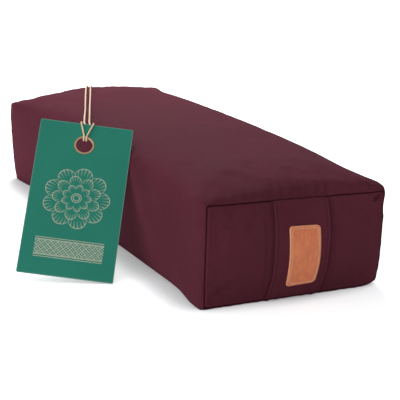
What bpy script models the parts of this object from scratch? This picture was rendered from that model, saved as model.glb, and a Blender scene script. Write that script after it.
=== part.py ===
"""Yoga bolster: a slim, oblong cushion with a zip-off twill cover, carry handles and a swing tag.

Metres, +Z up. The long axis lies along Y and the end with the leather patch is at -Y. The origin is
at the middle of the underside.
"""

import math

import bmesh
import bpy
from mathutils import Matrix, Vector

# Cushion form
LENGTH = 0.600  # from one end seam to the other
WIDTH = 0.217
SEAM_HEIGHT = 0.116  # height at the end seams
CROWN = 0.0193  # how much taller the middle is than the ends
CROWN_POWER = 2.5
SINK = 0.0047  # how much of the crown the floor presses flat
TOP_SWELL = 0.0185  # how much further the top rises between an end seam and the middle
SWELL_RISE = 3  # powers of the length that shape this: towards the seam
SWELL_FALL = 8  # and down to it
END_SQUARENESS = 7.7  # exponent of the superellipse section
MIDDLE_SQUARENESS = 6.1
END_BULGE = 0.011  # how far an end panel swells

# Cloth and the gaps between layers
GAP = 0.0003  # between pieces that touch
PANEL_INSET = 0.0005  # from the cover's outline to an end panel's
LAYER_GAP = 0.0005  # between the nested layers
COVER_CLOTH = 0.0010
CASE_CLOTH = 0.0006
END_ROOM = 0.0018  # from the end seam to the inner case
FILL_END_ROOM = 0.0012

# Zips, both on the +X side
COVER_ZIP_MARGIN = 0.050  # from the end of the slit to the end seam
COVER_ZIP_LENGTH = LENGTH - 2 * COVER_ZIP_MARGIN
INNER_ZIP_LENGTH = 0.240
ZIP_SPACING = 0.032  # between the heights of the two zips, so that neither tape lies over the other
ZIP_RISE = 0.003  # of the middle between them over half the seam height
COVER_ZIP_HEIGHT = SEAM_HEIGHT / 2 + ZIP_RISE - ZIP_SPACING / 2
INNER_ZIP_HEIGHT = SEAM_HEIGHT / 2 + ZIP_RISE + ZIP_SPACING / 2
ZIP_OPENING = 0.0100  # width of the slit in the cloth
ZIP_RUN_OUT = 0.005  # from the end of the slit to the end of the coil
TAPE_WIDTH = 0.0130
TAPE_THICKNESS = 0.0006
TAPE_GAP = 0.0006  # between the tape and the cloth in front of it
TAPE_TAIL = 0.012  # how far the tape runs past the slit
COIL_WIDTH = 0.0024
COIL_THICKNESS = 0.0014
SLIDER_LENGTH = 0.0110
SLIDER_WIDTH = 0.0090
SLIDER_PLATE = 0.0010
SLIDER_WEB = 0.0005  # the wedge that passes between the two rows of teeth
SLIDER_GAP = 0.00035
ARCH_WIDTH = 0.0016
ARCH_THICKNESS = 0.0009
ARCH_CLEAR = 0.0022  # room under the arch
ARCH_SPAN = 0.0038
PULL_LENGTH = 0.026
PULL_WIDTH = 0.0062
PULL_HEAD_WIDTH = 0.0046
PULL_TIP_WIDTH = 0.0050
PULL_THICKNESS = 0.0012
PULL_EYE_WIDTH = 0.0026
PULL_EYE_LENGTH = 0.0034
PULL_BAR = 0.0012  # the bar of the pull under the arch
STOP_LENGTH = 0.0024
INNER_ZIP_CLEAR = 0.00105  # from the inner slider's arch to the cover
FILL_CLEAR = 0.00075  # from the inner slider to the filling

# From the cover's face to the inner case, and from the case's face to the filling, on the zips' side
SLIDER_STAND = COIL_THICKNESS + SLIDER_GAP + SLIDER_PLATE + ARCH_CLEAR + ARCH_THICKNESS
ZIP_ROOM = COVER_CLOTH + INNER_ZIP_CLEAR + SLIDER_STAND + GAP - TAPE_GAP - CASE_CLOTH
FILL_ROOM = CASE_CLOTH + TAPE_GAP + TAPE_THICKNESS + SLIDER_GAP + SLIDER_PLATE + FILL_CLEAR

# Handles
HANDLE_CLOTH = 0.0016  # two layers of twill
HANDLE_TOP_WIDTH = 0.069
HANDLE_BOTTOM_WIDTH = 0.060
HANDLE_TOP_SHIFT = 0.005
HANDLE_BOTTOM_SHIFT = -0.008
HANDLE_BOW = 0.0178
HANDLE_FULLNESS = 0.85  # below 1 the bow is rounder
HANDLE_TUCK = 0.5  # share of the bow that the swollen panel behind it takes up
HANDLE_TOP_DROP = 0.0055  # from the seam height to the top end of the strip
HANDLE_FOOT = 0.0060  # from the floor to its lower end

# Leather patch, on the front handle
PATCH_WIDTH = 0.036
PATCH_HEIGHT = 0.062
PATCH_THICKNESS = 0.0018
PATCH_CORNER = 0.0045
PATCH_SHIFT = -0.0018
PATCH_MIDDLE = 0.0530  # height of its middle
PATCH_SEAT = 0.0005  # gap between patch and handle
PATCH_SPACING = 0.0085  # of the points along its edges
PATCH_SHARES = (0.25, 0.5, 0.75, 1.0)  # of its rings, from its middle out
STITCH_INSET = 0.0028
STITCH_THREAD = 0.0008

# Hang tag
CARD_WIDTH = 0.106
CARD_HEIGHT = 0.190
CARD_THICKNESS = 0.0008
CARD_CORNER = 0.0015
CARD_YAW = math.radians(-20.0)
CARD_LEAN = math.radians(40.0)
CARD_ROLL = math.radians(8.8)
CARD_FOOT_Y = -0.1854  # where its standing corner is
CARD_FOOT_HEIGHT = 0.0008
CARD_SEAT = 0.0006  # gap between the card and the cushion's roll
EYELET_DROP = 0.0273  # from the card's top edge to the eyelet's middle
EYELET_BORE = 0.0190
EYELET_RIM = 0.0018
EYELET_SHEET = 0.0004
EYELET_SEAT = 0.0002
STRING_THICKNESS = 0.0020
KNOT_SIZE = 0.0046
KNOT_LENGTH = 0.0050
KNOT_SEAT = 0.0003

# How finely the forms are divided
UPPER_STEPS = 8  # from the slit of the inner zip up to the middle of the top
LOWER_STEPS = 27  # from there round to the slit of the cover's zip
TOP_TURN = math.radians(2.5)  # from the middle of the top to the next point, as the superellipse turns
ROUND_STEPS = 24
STATION_SHARES = (-0.97, -0.92, -0.63, 0.0, 0.63, 0.92, 0.97)  # of the half length, beside the ends of the zips
CAP_SHARES = (0.3, 0.6, 0.85)
INNER_CAP_SHARES = (0.6,)
HITCH_POINTS = 32
STRAND_POINTS = 48
SPREAD_LENGTH = 0.030  # this much length counts as much as
SPREAD_BEND = math.radians(25)  # this much bend, when a string's points are shared out

# The string's route, by hand. The hitch and the first points of each strand are in millimetres on the
# card, from the middle of its top edge: x along the edge, y up and z out of the card's front.
HITCH_ROUTE = (
    (-2.7, 0.3, -3.17),
    (-2.7, -0.4, -2.65),
    (-2.7, -1.9, -2.3),
    (-2.4, -6.8, -2.3),
    (-1.9, -12.6, -2.8),
    (-1.6, -16.2, -2.9),
    (-1.5, -19.4, -2.4),
    (-1.5, -20.7, -0.4),
    (-1.5, -19.4, 1.7),
    (-1.8, -16.2, 2.3),
    (-2.8, -12.6, 2.2),
    (-4.6, -6.8, 1.6),
    (-6.6, -1.0, 1.6),
    (-6.9, 1.3, 0.8),
    (-6.9, 1.8, -0.6),
    (-6.8, 0.8, -2.6),
    (-6.0, -0.8, -4.4),
    (-4.2, -1.8, -5.1),
    (0.0, -2.0, -5.3),
    (4.2, -1.8, -5.1),
    (6.0, -0.8, -4.4),
    (6.8, 0.8, -2.6),
    (6.9, 1.8, -0.6),
    (6.9, 1.3, 0.8),
    (6.6, -1.0, 1.6),
    (4.6, -6.8, 1.6),
    (2.8, -12.6, 2.2),
    (1.8, -16.2, 2.3),
    (1.5, -19.4, 1.7),
    (1.5, -20.7, -0.4),
    (1.5, -19.4, -2.4),
    (1.6, -16.2, -2.9),
    (1.9, -12.6, -2.8),
    (2.4, -6.8, -2.3),
    (2.7, -1.9, -2.3),
    (2.7, -0.4, -2.65),
    (2.7, 0.3, -3.17),
)
LEFT_START = ((-2.7, 0.6, -3.4), (-2.7, 1.4, -4.0), (-2.7, 2.6, -6.0))
RIGHT_START = ((2.7, 0.6, -3.4), (2.7, 1.4, -4.0), (2.7, 2.6, -6.0))
# The rest is in metres: over the cushion, round the far handle and back.
STRAND_ROUTE = (
    (-0.1259, -0.0176, 0.1431),
    (-0.1060, 0.0330, 0.1345),
    (-0.0890, 0.0750, 0.1309),
    (-0.0730, 0.1130, 0.1309),
    (-0.0510, 0.1680, 0.1317),
    (-0.0240, 0.2340, 0.1324),
    (-0.0120, 0.2620, 0.1307),
    (-0.0020, 0.2840, 0.1264),
    (0.0020, 0.2950, 0.1215),
    (0.0015, 0.3015, 0.1180),
    (-0.0030, 0.3050, 0.1155),
    (-0.0140, 0.3058, 0.1142),
    (-0.0280, 0.3062, 0.1136),
    (-0.0380, 0.3068, 0.1124),
    (-0.0422, 0.3078, 0.1080),
    (-0.0430, 0.3092, 0.1015),
    (-0.0428, 0.3105, 0.0945),
    (-0.0400, 0.3120, 0.0890),
    (-0.0330, 0.3125, 0.0870),
    (-0.0180, 0.3125, 0.0870),
    (-0.0040, 0.3125, 0.0870),
    (0.0100, 0.3125, 0.0870),
    (0.0250, 0.3125, 0.0872),
    (0.0320, 0.3120, 0.0893),
    (0.0348, 0.3105, 0.0950),
    (0.0346, 0.3092, 0.1015),
    (0.0332, 0.3078, 0.1080),
    (0.0290, 0.3068, 0.1124),
    (0.0200, 0.3060, 0.1138),
    (0.0120, 0.3045, 0.1160),
    (0.0105, 0.3005, 0.1186),
    (0.0085, 0.2940, 0.1221),
    (0.0050, 0.2860, 0.1259),
    (-0.0060, 0.2610, 0.1309),
    (-0.0190, 0.2300, 0.1328),
    (-0.0460, 0.1640, 0.1322),
    (-0.0690, 0.1080, 0.1316),
    (-0.0840, 0.0710, 0.1319),
    (-0.1010, 0.0290, 0.1360),
    (-0.1204, -0.0193, 0.1442),
)
KNOT_PLACE = (-0.0040, 0.3125, 0.0870)

PART = bpy.data.collections.new("yoga_bolster")
CUTTERS = bpy.data.collections.new("cutters")


def material(name, colour, roughness, metallic=0.0):
    made = bpy.data.materials.new(name)
    made.use_nodes = True
    shader = made.node_tree.nodes["Principled BSDF"]
    shader.inputs["Base Color"].default_value = (*colour, 1.0)
    shader.inputs["Roughness"].default_value = roughness
    shader.inputs["Metallic"].default_value = metallic
    return made


def add(name, data, finish, parent=None):
    """Puts mesh or curve data into the part's collection as one named object."""
    piece = bpy.data.objects.new(name, data)
    data.materials.append(finish)
    PART.objects.link(piece)
    piece.parent = parent
    return piece


def solidify(piece, thickness, outwards):
    layer = piece.modifiers.new("cloth", "SOLIDIFY")
    layer.thickness = thickness
    layer.offset = 1.0 if outwards else -1.0
    layer.use_even_offset = True


def smooth(mesh, angle=40.0):
    mesh.shade_smooth()
    mesh.set_sharp_from_angle(angle=math.radians(angle))


class Layer:
    """One skin of the cushion, by its distance from the cover's outer face on each side."""

    def __init__(self, left=0.0, right=0.0, upright=0.0, end=0.0):
        self.left = left
        self.right = right
        self.upright = upright
        self.end = end


OUTER = Layer()
PANEL = Layer(left=PANEL_INSET, right=PANEL_INSET, upright=PANEL_INSET)
CASE = Layer(
    left=COVER_CLOTH + LAYER_GAP,
    right=ZIP_ROOM,
    upright=COVER_CLOTH + LAYER_GAP,
    end=END_ROOM,
)
FILL = Layer(
    left=CASE.left + CASE_CLOTH + LAYER_GAP,
    right=CASE.right + FILL_ROOM,
    upright=CASE.upright + CASE_CLOTH + LAYER_GAP,
    end=END_ROOM + CASE_CLOTH + FILL_END_ROOM,
)


def fullness(y):
    """0 at the end seams and 1 in the middle."""
    return 1.0 - min(abs(y) / (LENGTH / 2), 1.0) ** CROWN_POWER


def squareness(y):
    return END_SQUARENESS + (MIDDLE_SQUARENESS - END_SQUARENESS) * fullness(y)


def half_height(y):
    return (SEAM_HEIGHT + CROWN * fullness(y)) / 2


def middle_height(y):
    return half_height(y) - SINK * fullness(y)


def half_width(layer):
    return (WIDTH - layer.left - layer.right) / 2


def middle_width(layer):
    return (layer.left - layer.right) / 2


def side_at(y, z, layer=OUTER):
    """How far the +X side of a layer is from its middle at this height, as a share of its half width."""
    level = min(abs(z - middle_height(y)) / (half_height(y) - layer.upright), 1.0)
    return (1.0 - level ** squareness(y)) ** (1.0 / squareness(y))


def zip_edges():
    """Heights of the slit edges of both zips, from the lowest up."""
    heights = []
    for middle in (COVER_ZIP_HEIGHT, INNER_ZIP_HEIGHT):
        heights += [middle - ZIP_OPENING / 2, middle + ZIP_OPENING / 2]
    return heights


def turn_at(y, z, layer):
    """The superellipse's own angle at which its +X side reaches this height."""
    level = (z - middle_height(y)) / (half_height(y) - layer.upright)
    return math.copysign(math.asin(min(abs(level), 1.0) ** (squareness(y) / 2)), level)


def section(y, layer):
    """Outline of a layer at y, as (x, z), from the slit of the cover zip up and round."""
    wide = half_width(layer)
    tall = half_height(y) - layer.upright
    power = 2.0 / squareness(y)
    edges = zip_edges()
    first = turn_at(y, edges[-1], layer)
    last = math.tau + turn_at(y, edges[0], layer)
    points = [(wide * side_at(y, z, layer) + middle_width(layer), z) for z in edges]
    for turn in section_turns(first, last):
        across, up = math.cos(turn), math.sin(turn)
        x = math.copysign(wide * abs(across) ** power, across) + middle_width(layer)
        z = math.copysign(tall * abs(up) ** power, up) + middle_height(y)
        if up > 0:
            z += top_swell(x, y)
        points.append((x, max(z, layer.upright)))
    return points


def section_turns(first, last):
    """Angles between two others, over the top, each layer with one at the very middle of the top."""
    top = math.pi / 2
    near, far = top - TOP_TURN, top + TOP_TURN
    turns = [first + (near - first) * step / UPPER_STEPS for step in range(1, UPPER_STEPS + 1)]
    turns.append(top)
    return turns + [far + (last - far) * step / LOWER_STEPS for step in range(LOWER_STEPS)]


def top_swell(x, y):
    """How much higher the top is at this place than the superellipse."""
    across = min(abs(x) / (WIDTH / 2), 1.0)
    along = min(abs(y) / (LENGTH / 2), 1.0)
    return TOP_SWELL * (1 - across**2) * along**SWELL_RISE * (1 - along**SWELL_FALL)


def cap_ring(y_seam, share, layer, swell):
    """A ring of an end cap: the end outline drawn in to a share of its size, and pushed outwards."""
    middle_x = middle_width(layer)
    middle_z = middle_height(y_seam)
    wide = half_width(layer)
    tall = half_height(y_seam) - layer.upright
    points = []
    for x, z in section(y_seam, layer):
        across, up = (x - middle_x) / wide, (z - middle_z) / tall
        reach = share / max(abs(across), abs(up))
        out = swell * (1 - (across * reach) ** 2) * (1 - (up * reach) ** 2)
        y = math.copysign(abs(y_seam) + out, y_seam)
        points.append((middle_x + (x - middle_x) * share, y, middle_z + (z - middle_z) * share))
    return points


def pole(y_seam, layer, swell):
    y = math.copysign(abs(y_seam) + swell, y_seam)
    return (middle_width(layer), y, middle_height(y_seam))


def zip_stations():
    """Every y at which a layer has a section, apart from its ends."""
    slits = [sign * length / 2 for length in (COVER_ZIP_LENGTH, INNER_ZIP_LENGTH) for sign in (-1, 1)]
    return sorted([*(share * LENGTH / 2 for share in STATION_SHARES), *slits])


def tube_rings(layer):
    """Rings of a layer from the -Y seam to the +Y seam."""
    end = LENGTH / 2 - layer.end
    stations = [-end, *zip_stations(), end]
    return [[(x, y, z) for x, z in section(y, layer)] for y in stations]


def loft(rings, first=None, last=None, slit=None):
    """A mesh through the rings, with an optional point that closes each end.

    slit is (index of its lower edge, its half length): those faces are left out.
    """
    mesh = bpy.data.meshes.new("loft")
    form = bmesh.new()
    rows = [[form.verts.new(point) for point in ring] for ring in rings]
    count = len(rows[0])
    for row, following in zip(rows, rows[1:]):
        for i in range(count):
            k = (i + 1) % count
            corners = (row[i], following[i], following[k], row[k])
            if slit and i == slit[0] and max(abs(c.co.y) for c in corners) < slit[1] + GAP:
                continue
            form.faces.new(corners)
    if first:
        tip = form.verts.new(first)
        for i in range(count):
            form.faces.new((tip, rows[0][i], rows[0][(i + 1) % count]))
    if last:
        tip = form.verts.new(last)
        for i in range(count):
            form.faces.new((tip, rows[-1][(i + 1) % count], rows[-1][i]))
    form.to_mesh(mesh)
    form.free()
    smooth(mesh)
    return mesh


def closed_layer(layer, shares, slit=None):
    """The whole skin of an inner layer, with both of its end caps."""
    end = LENGTH / 2 - layer.end
    front = [cap_ring(-end, share, layer, END_BULGE) for share in shares]
    back = [cap_ring(end, share, layer, END_BULGE) for share in reversed(shares)]
    rings = [*front, *tube_rings(layer), *back]
    return loft(rings, pole(-end, layer, END_BULGE), pole(end, layer, END_BULGE), slit)


def make_cover(twill):
    wrap = add("cover_wrap", loft(tube_rings(OUTER), slit=(0, COVER_ZIP_LENGTH / 2)), twill)
    solidify(wrap, COVER_CLOTH, outwards=False)
    for name, sign in (("end_panel_front", -1), ("end_panel_back", 1)):
        y_seam = sign * (LENGTH / 2 + GAP)
        rings = [cap_ring(y_seam, share, PANEL, END_BULGE) for share in (*CAP_SHARES, 1.0)]
        tip = pole(y_seam, PANEL, END_BULGE)
        if sign < 0:
            mesh = loft(rings, first=tip)
        else:
            mesh = loft(rings[::-1], last=tip)
        solidify(add(name, mesh, twill), COVER_CLOTH, outwards=True)


def make_inner_cushion(calico, hulls):
    case = add("inner_case", closed_layer(CASE, INNER_CAP_SHARES, (2, INNER_ZIP_LENGTH / 2)), calico)
    solidify(case, CASE_CLOTH, outwards=False)
    add("hull_fill", closed_layer(FILL, INNER_CAP_SHARES), hulls)


def grid(name, columns, rows, place):
    """A flat grid whose corners (0 to 1 each way) are moved to where place says."""
    mesh = bpy.data.meshes.new(name)
    form = bmesh.new()
    bmesh.ops.create_grid(form, x_segments=columns, y_segments=rows, size=0.5)
    for corner in form.verts:
        corner.co = place(corner.co.x + 0.5, corner.co.y + 0.5)
    form.to_mesh(mesh)
    form.free()
    smooth(mesh)
    return mesh


def handle_top():
    return SEAM_HEIGHT - HANDLE_TOP_DROP


def handle_out(z):
    """How far the handle's inner face stands out from the end seam at height z."""
    share = (z - HANDLE_FOOT) / (handle_top() - HANDLE_FOOT)
    share = min(max(share, 0.0), 1.0)
    tab = GAP + COVER_CLOTH + panel_out(z) + GAP
    return tab + HANDLE_BOW * math.sin(math.pi * share) ** HANDLE_FULLNESS * bow_room(z)


def panel_out(z):
    """How far the end panel swells at height z, at its widest."""
    up = (z - middle_height(LENGTH / 2)) / half_height(LENGTH / 2)
    return END_BULGE * (1 - up * up)


def bow_room(z):
    """The handle bows past the swollen panel, so the panel's own swell comes off the bow."""
    return 1.0 - HANDLE_TUCK * panel_out(z) / END_BULGE


def handle_point(z, offset):
    """Point of the handle's profile at height z, offset outwards, as (distance out, height)."""
    step = 0.0005
    rise = handle_out(z + step) - handle_out(z - step)
    run = math.hypot(rise, 2 * step)
    return handle_out(z) + offset * 2 * step / run, z - offset * rise / run


def handle_shift(z):
    share = (z - HANDLE_FOOT) / (handle_top() - HANDLE_FOOT)
    return HANDLE_BOTTOM_SHIFT + (HANDLE_TOP_SHIFT - HANDLE_BOTTOM_SHIFT) * share


def handle_width(z):
    share = (z - HANDLE_FOOT) / (handle_top() - HANDLE_FOOT)
    return HANDLE_BOTTOM_WIDTH + (HANDLE_TOP_WIDTH - HANDLE_BOTTOM_WIDTH) * share


def make_handles(twill):
    def place(across, up):
        spread = (1 - math.cos(math.pi * up)) / 2  # closer rows near the two seams
        z = HANDLE_FOOT + (handle_top() - HANDLE_FOOT) * spread
        x = handle_shift(z) + (across - 0.5) * handle_width(z)
        return Vector((x, -LENGTH / 2 - handle_out(z), z))

    for name, turn in (("handle_front", 0.0), ("handle_back", math.pi)):
        strip = add(name, grid(name, 3, 14, place), twill)
        strip.rotation_euler.z = turn
        solidify(strip, HANDLE_CLOTH, outwards=True)


def divided(outline, spacing):
    """A closed outline with points no further apart than the spacing."""
    points = []
    for (x, y), (next_x, next_y) in zip(outline, outline[1:] + outline[:1]):
        pieces = math.ceil(math.hypot(next_x - x, next_y - y) / spacing)
        for i in range(pieces):
            share = i / pieces
            points.append((x + (next_x - x) * share, y + (next_y - y) * share))
    return points


def rounded_outline(width, height, corner, steps=3):
    """Points round a rectangle with round corners, counter-clockwise from the lower right."""
    points = []
    centres = ((1, -1, -90), (1, 1, 0), (-1, 1, 90), (-1, -1, 180))
    for side, level, start in centres:
        x = side * (width / 2 - corner)
        y = level * (height / 2 - corner)
        for step in range(steps + 1):
            turn = math.radians(start + 90 * step / steps)
            points.append((x + corner * math.cos(turn), y + corner * math.sin(turn)))
    return points


def on_handle(x, up, offset):
    """Point on the front handle, by its place on the patch and its height over the handle's face."""
    z = PATCH_MIDDLE + up * patch_foreshortening()
    out, height = handle_point(z, HANDLE_CLOTH + offset)
    return Vector((PATCH_SHIFT + x, -LENGTH / 2 - out, height))


def patch_foreshortening():
    """Rise in height for each step along the bowed handle, over the patch."""
    low, high = PATCH_MIDDLE - PATCH_HEIGHT / 2, PATCH_MIDDLE + PATCH_HEIGHT / 2
    steps = 40
    length = 0.0
    for i in range(steps):
        z = low + (high - low) * i / steps
        length += math.hypot(handle_out(z + (high - low) / steps) - handle_out(z), (high - low) / steps)
    return (high - low) / length


def make_patch(leather, thread):
    outline = divided(rounded_outline(PATCH_WIDTH, PATCH_HEIGHT, PATCH_CORNER), PATCH_SPACING)
    rings = [
        [on_handle(x * share, up * share, PATCH_SEAT) for x, up in outline]
        for share in PATCH_SHARES
    ]
    mesh = loft(rings, first=on_handle(0.0, 0.0, PATCH_SEAT))
    patch = add("leather_patch", mesh, leather)
    solidify(patch, PATCH_THICKNESS, outwards=True)

    inner = rounded_outline(
        PATCH_WIDTH - 2 * STITCH_INSET,
        PATCH_HEIGHT - 2 * STITCH_INSET,
        PATCH_CORNER - STITCH_INSET / 2,
    )
    over = PATCH_SEAT + PATCH_THICKNESS + GAP + STITCH_THREAD / 2
    route = [on_handle(x, up, over) for x, up in divided(inner, PATCH_SPACING)]
    add_tube("patch_stitching", route, STITCH_THREAD, thread, closed=True, resolution=1)


def add_tube(name, points, thickness, finish, closed=False, resolution=2):
    curve = bpy.data.curves.new(name, "CURVE")
    curve.dimensions = "3D"
    curve.bevel_depth = thickness / 2
    curve.bevel_resolution = resolution
    curve.use_fill_caps = not closed
    spline = curve.splines.new("POLY")
    spline.points.add(len(points) - 1)
    for point, place in zip(spline.points, points):
        point.co = (*place, 1.0)
    spline.use_cyclic_u = closed
    return add(name, curve, finish)


def box(name, low, high, finish, parent=None):
    """A box between two corners, placed by its location so that its origin is its middle."""
    mesh = bpy.data.meshes.new(name)
    form = bmesh.new()
    bmesh.ops.create_cube(form, size=1.0)
    size = Vector(high) - Vector(low)
    bmesh.ops.scale(form, vec=size, verts=form.verts)
    form.to_mesh(mesh)
    form.free()
    piece = add(name, mesh, finish, parent)
    piece.location = (Vector(low) + Vector(high)) / 2
    return piece


def join_on(piece, low, high):
    """Unites a box with a piece; the corners are given in the piece's own space."""
    cutter = box(piece.name + "_joint", low, high, piece.data.materials[0], piece.parent)
    PART.objects.unlink(cutter)
    CUTTERS.objects.link(cutter)
    cutter.hide_render = True
    cutter.display_type = "WIRE"
    union = piece.modifiers.new("joint", "BOOLEAN")
    union.operation = "UNION"
    union.object = cutter


class Zip:
    """A coil zip on the +X side: x is the outer face of the cloth that it closes."""

    def __init__(self, name, x, height, length, runs):
        self.name = name
        self.x = x
        self.height = height
        self.length = length
        self.chain = length / 2 - ZIP_RUN_OUT
        self.tape_out = x - runs - TAPE_GAP
        self.tape_in = self.tape_out - TAPE_THICKNESS
        self.coil_in = self.tape_out + GAP
        self.coil_out = self.coil_in + COIL_THICKNESS
        self.half_gap = SLIDER_WEB / 2 + SLIDER_GAP
        self.start = self.chain - STOP_LENGTH - GAP - SLIDER_LENGTH / 2

    def build(self, tape, coil, metal):
        for side, sign in (("upper", 1), ("lower", -1)):
            self.strip(side, sign, "tape", self.tape_in, self.tape_out, TAPE_WIDTH, self.tape_end(), tape)
            self.strip(side, sign, "coil", self.coil_in, self.coil_out, COIL_WIDTH, self.coil_end(), coil)
            self.top_stop(side, sign, metal)
        self.bottom_stop(metal)
        self.slider(metal)

    def tape_end(self):
        return self.length / 2 + TAPE_TAIL

    def coil_end(self):
        return self.chain - STOP_LENGTH - GAP

    def strip(self, side, sign, what, x_in, x_out, width, end, finish):
        near = self.height + sign * self.half_gap
        far = near + sign * width
        low = (x_in, -end, min(near, far))
        high = (x_out, end, max(near, far))
        box(f"{self.name}_{what}_{side}", low, high, finish)

    def top_stop(self, side, sign, metal):
        near = self.height + sign * self.half_gap
        far = near + sign * COIL_WIDTH
        low = (self.coil_in, self.chain - STOP_LENGTH, min(near, far))
        high = (self.coil_out, self.chain, max(near, far))
        box(f"{self.name}_top_stop_{side}", low, high, metal)

    def bottom_stop(self, metal):
        half = self.half_gap + COIL_WIDTH
        low = (self.coil_in, -self.chain, self.height - half)
        high = (self.coil_out, -self.chain + STOP_LENGTH, self.height + half)
        box(f"{self.name}_bottom_stop", low, high, metal)

    def plate_out(self):
        return self.coil_out + SLIDER_GAP + SLIDER_PLATE

    def slider(self, metal):
        """Two plates joined by the web between the teeth, and an arch for the pull."""
        seat = bpy.data.objects.new(f"{self.name}_slide_axis", None)
        seat.location = (self.plate_out(), self.start, self.height)
        PART.objects.link(seat)
        inner = self.tape_in - SLIDER_GAP - SLIDER_PLATE - self.plate_out()
        half_long = SLIDER_LENGTH / 2
        half_wide = SLIDER_WIDTH / 2
        body = box(
            f"{self.name}_slider",
            (-SLIDER_PLATE, -half_long, -half_wide),
            (0.0, half_long, half_wide),
            metal,
            seat,
        )
        join_on(body, (inner, -half_long, -half_wide), (inner + SLIDER_PLATE, half_long, half_wide))
        lap = SLIDER_PLATE / 2
        join_on(body, (inner + lap, -half_long / 2, -SLIDER_WEB / 2), (-lap, half_long / 2, SLIDER_WEB / 2))
        top = ARCH_CLEAR + ARCH_THICKNESS
        for sign in (-1, 1):
            foot = sorted((sign * ARCH_SPAN / 2, sign * (ARCH_SPAN / 2 + ARCH_THICKNESS)))
            join_on(body, (-lap, foot[0], -ARCH_WIDTH / 2), (top, foot[1], ARCH_WIDTH / 2))
        reach = ARCH_SPAN / 2 + ARCH_THICKNESS / 2
        join_on(body, (ARCH_CLEAR, -reach, -ARCH_WIDTH / 2), (top, reach, ARCH_WIDTH / 2))
        self.pull(metal, seat)

    def pull(self, metal, seat):
        """The flat tab; its origin is on the bar under the arch, about which it turns."""
        tip = PULL_TIP_WIDTH / 2
        outline = [
            (-PULL_BAR / 2, -PULL_HEAD_WIDTH / 2),
            (PULL_EYE_LENGTH + PULL_BAR, -PULL_WIDTH / 2),
            (PULL_LENGTH - tip, -tip),
        ]
        for step in range(1, 6):
            turn = math.radians(-90 + 30 * step)
            outline.append((PULL_LENGTH - tip + tip * math.cos(turn), tip * math.sin(turn)))
        outline += [(x, -z) for x, z in outline[2::-1]]
        eye = PULL_EYE_WIDTH / 2
        hole = [
            (PULL_BAR / 2, -eye),
            (PULL_BAR / 2 + PULL_EYE_LENGTH, -eye),
            (PULL_BAR / 2 + PULL_EYE_LENGTH, eye),
            (PULL_BAR / 2, eye),
        ]
        tab = flat_sheet(f"{self.name}_pull", [outline, hole], PULL_THICKNESS, metal)
        tab.parent = seat
        tab.location = (ARCH_CLEAR / 2, 0.0, 0.0)
        tab.rotation_euler = (math.pi / 2, 0.0, math.pi / 2)


def flat_sheet(name, outlines, thickness, finish):
    """A flat piece from closed outlines; the second and later ones are holes."""
    curve = bpy.data.curves.new(name, "CURVE")
    curve.dimensions = "2D"
    curve.fill_mode = "BOTH"
    curve.extrude = thickness / 2
    for outline in outlines:
        spline = curve.splines.new("POLY")
        spline.points.add(len(outline) - 1)
        for point, (x, y) in zip(spline.points, outline):
            point.co = (x, y, 0.0, 1.0)
        spline.use_cyclic_u = True
    return add(name, curve, finish)


def make_zips(tape, coil, metal, calico_tape):
    Zip("cover_zip", WIDTH / 2, COVER_ZIP_HEIGHT, COVER_ZIP_LENGTH, COVER_CLOTH).build(tape, coil, metal)
    inner_x = WIDTH / 2 - CASE.right
    Zip("inner_zip", inner_x, INNER_ZIP_HEIGHT, INNER_ZIP_LENGTH, CASE_CLOTH).build(
        calico_tape, calico_tape, metal
    )


def card_axes():
    """The card's own axes: x along its width, y up it and z out of its front."""
    turn = Matrix.Rotation(CARD_YAW, 4, "Z") @ Matrix.Rotation(math.pi / 2 - CARD_LEAN, 4, "X")
    return turn @ Matrix.Rotation(-CARD_ROLL, 4, "Z")


def card_foot():
    """Where the card's lower right corner stands, so that its right edge just clears the cushion."""
    axes = card_axes().to_3x3()
    up = axes @ Vector((0.0, 1.0, 0.0))
    back = axes @ Vector((0.0, 0.0, -CARD_THICKNESS))
    x = 0.0
    steps = 100
    for i in range(steps + 1):
        reach = up * (CARD_HEIGHT * i / steps) + back
        y = CARD_FOOT_Y + reach.y
        z = CARD_FOOT_HEIGHT + reach.z
        if abs(z - middle_height(y)) < half_height(y):
            x = min(x, -WIDTH / 2 * side_at(y, z) - CARD_SEAT - reach.x)
    return Vector((x, CARD_FOOT_Y, CARD_FOOT_HEIGHT))


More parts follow.
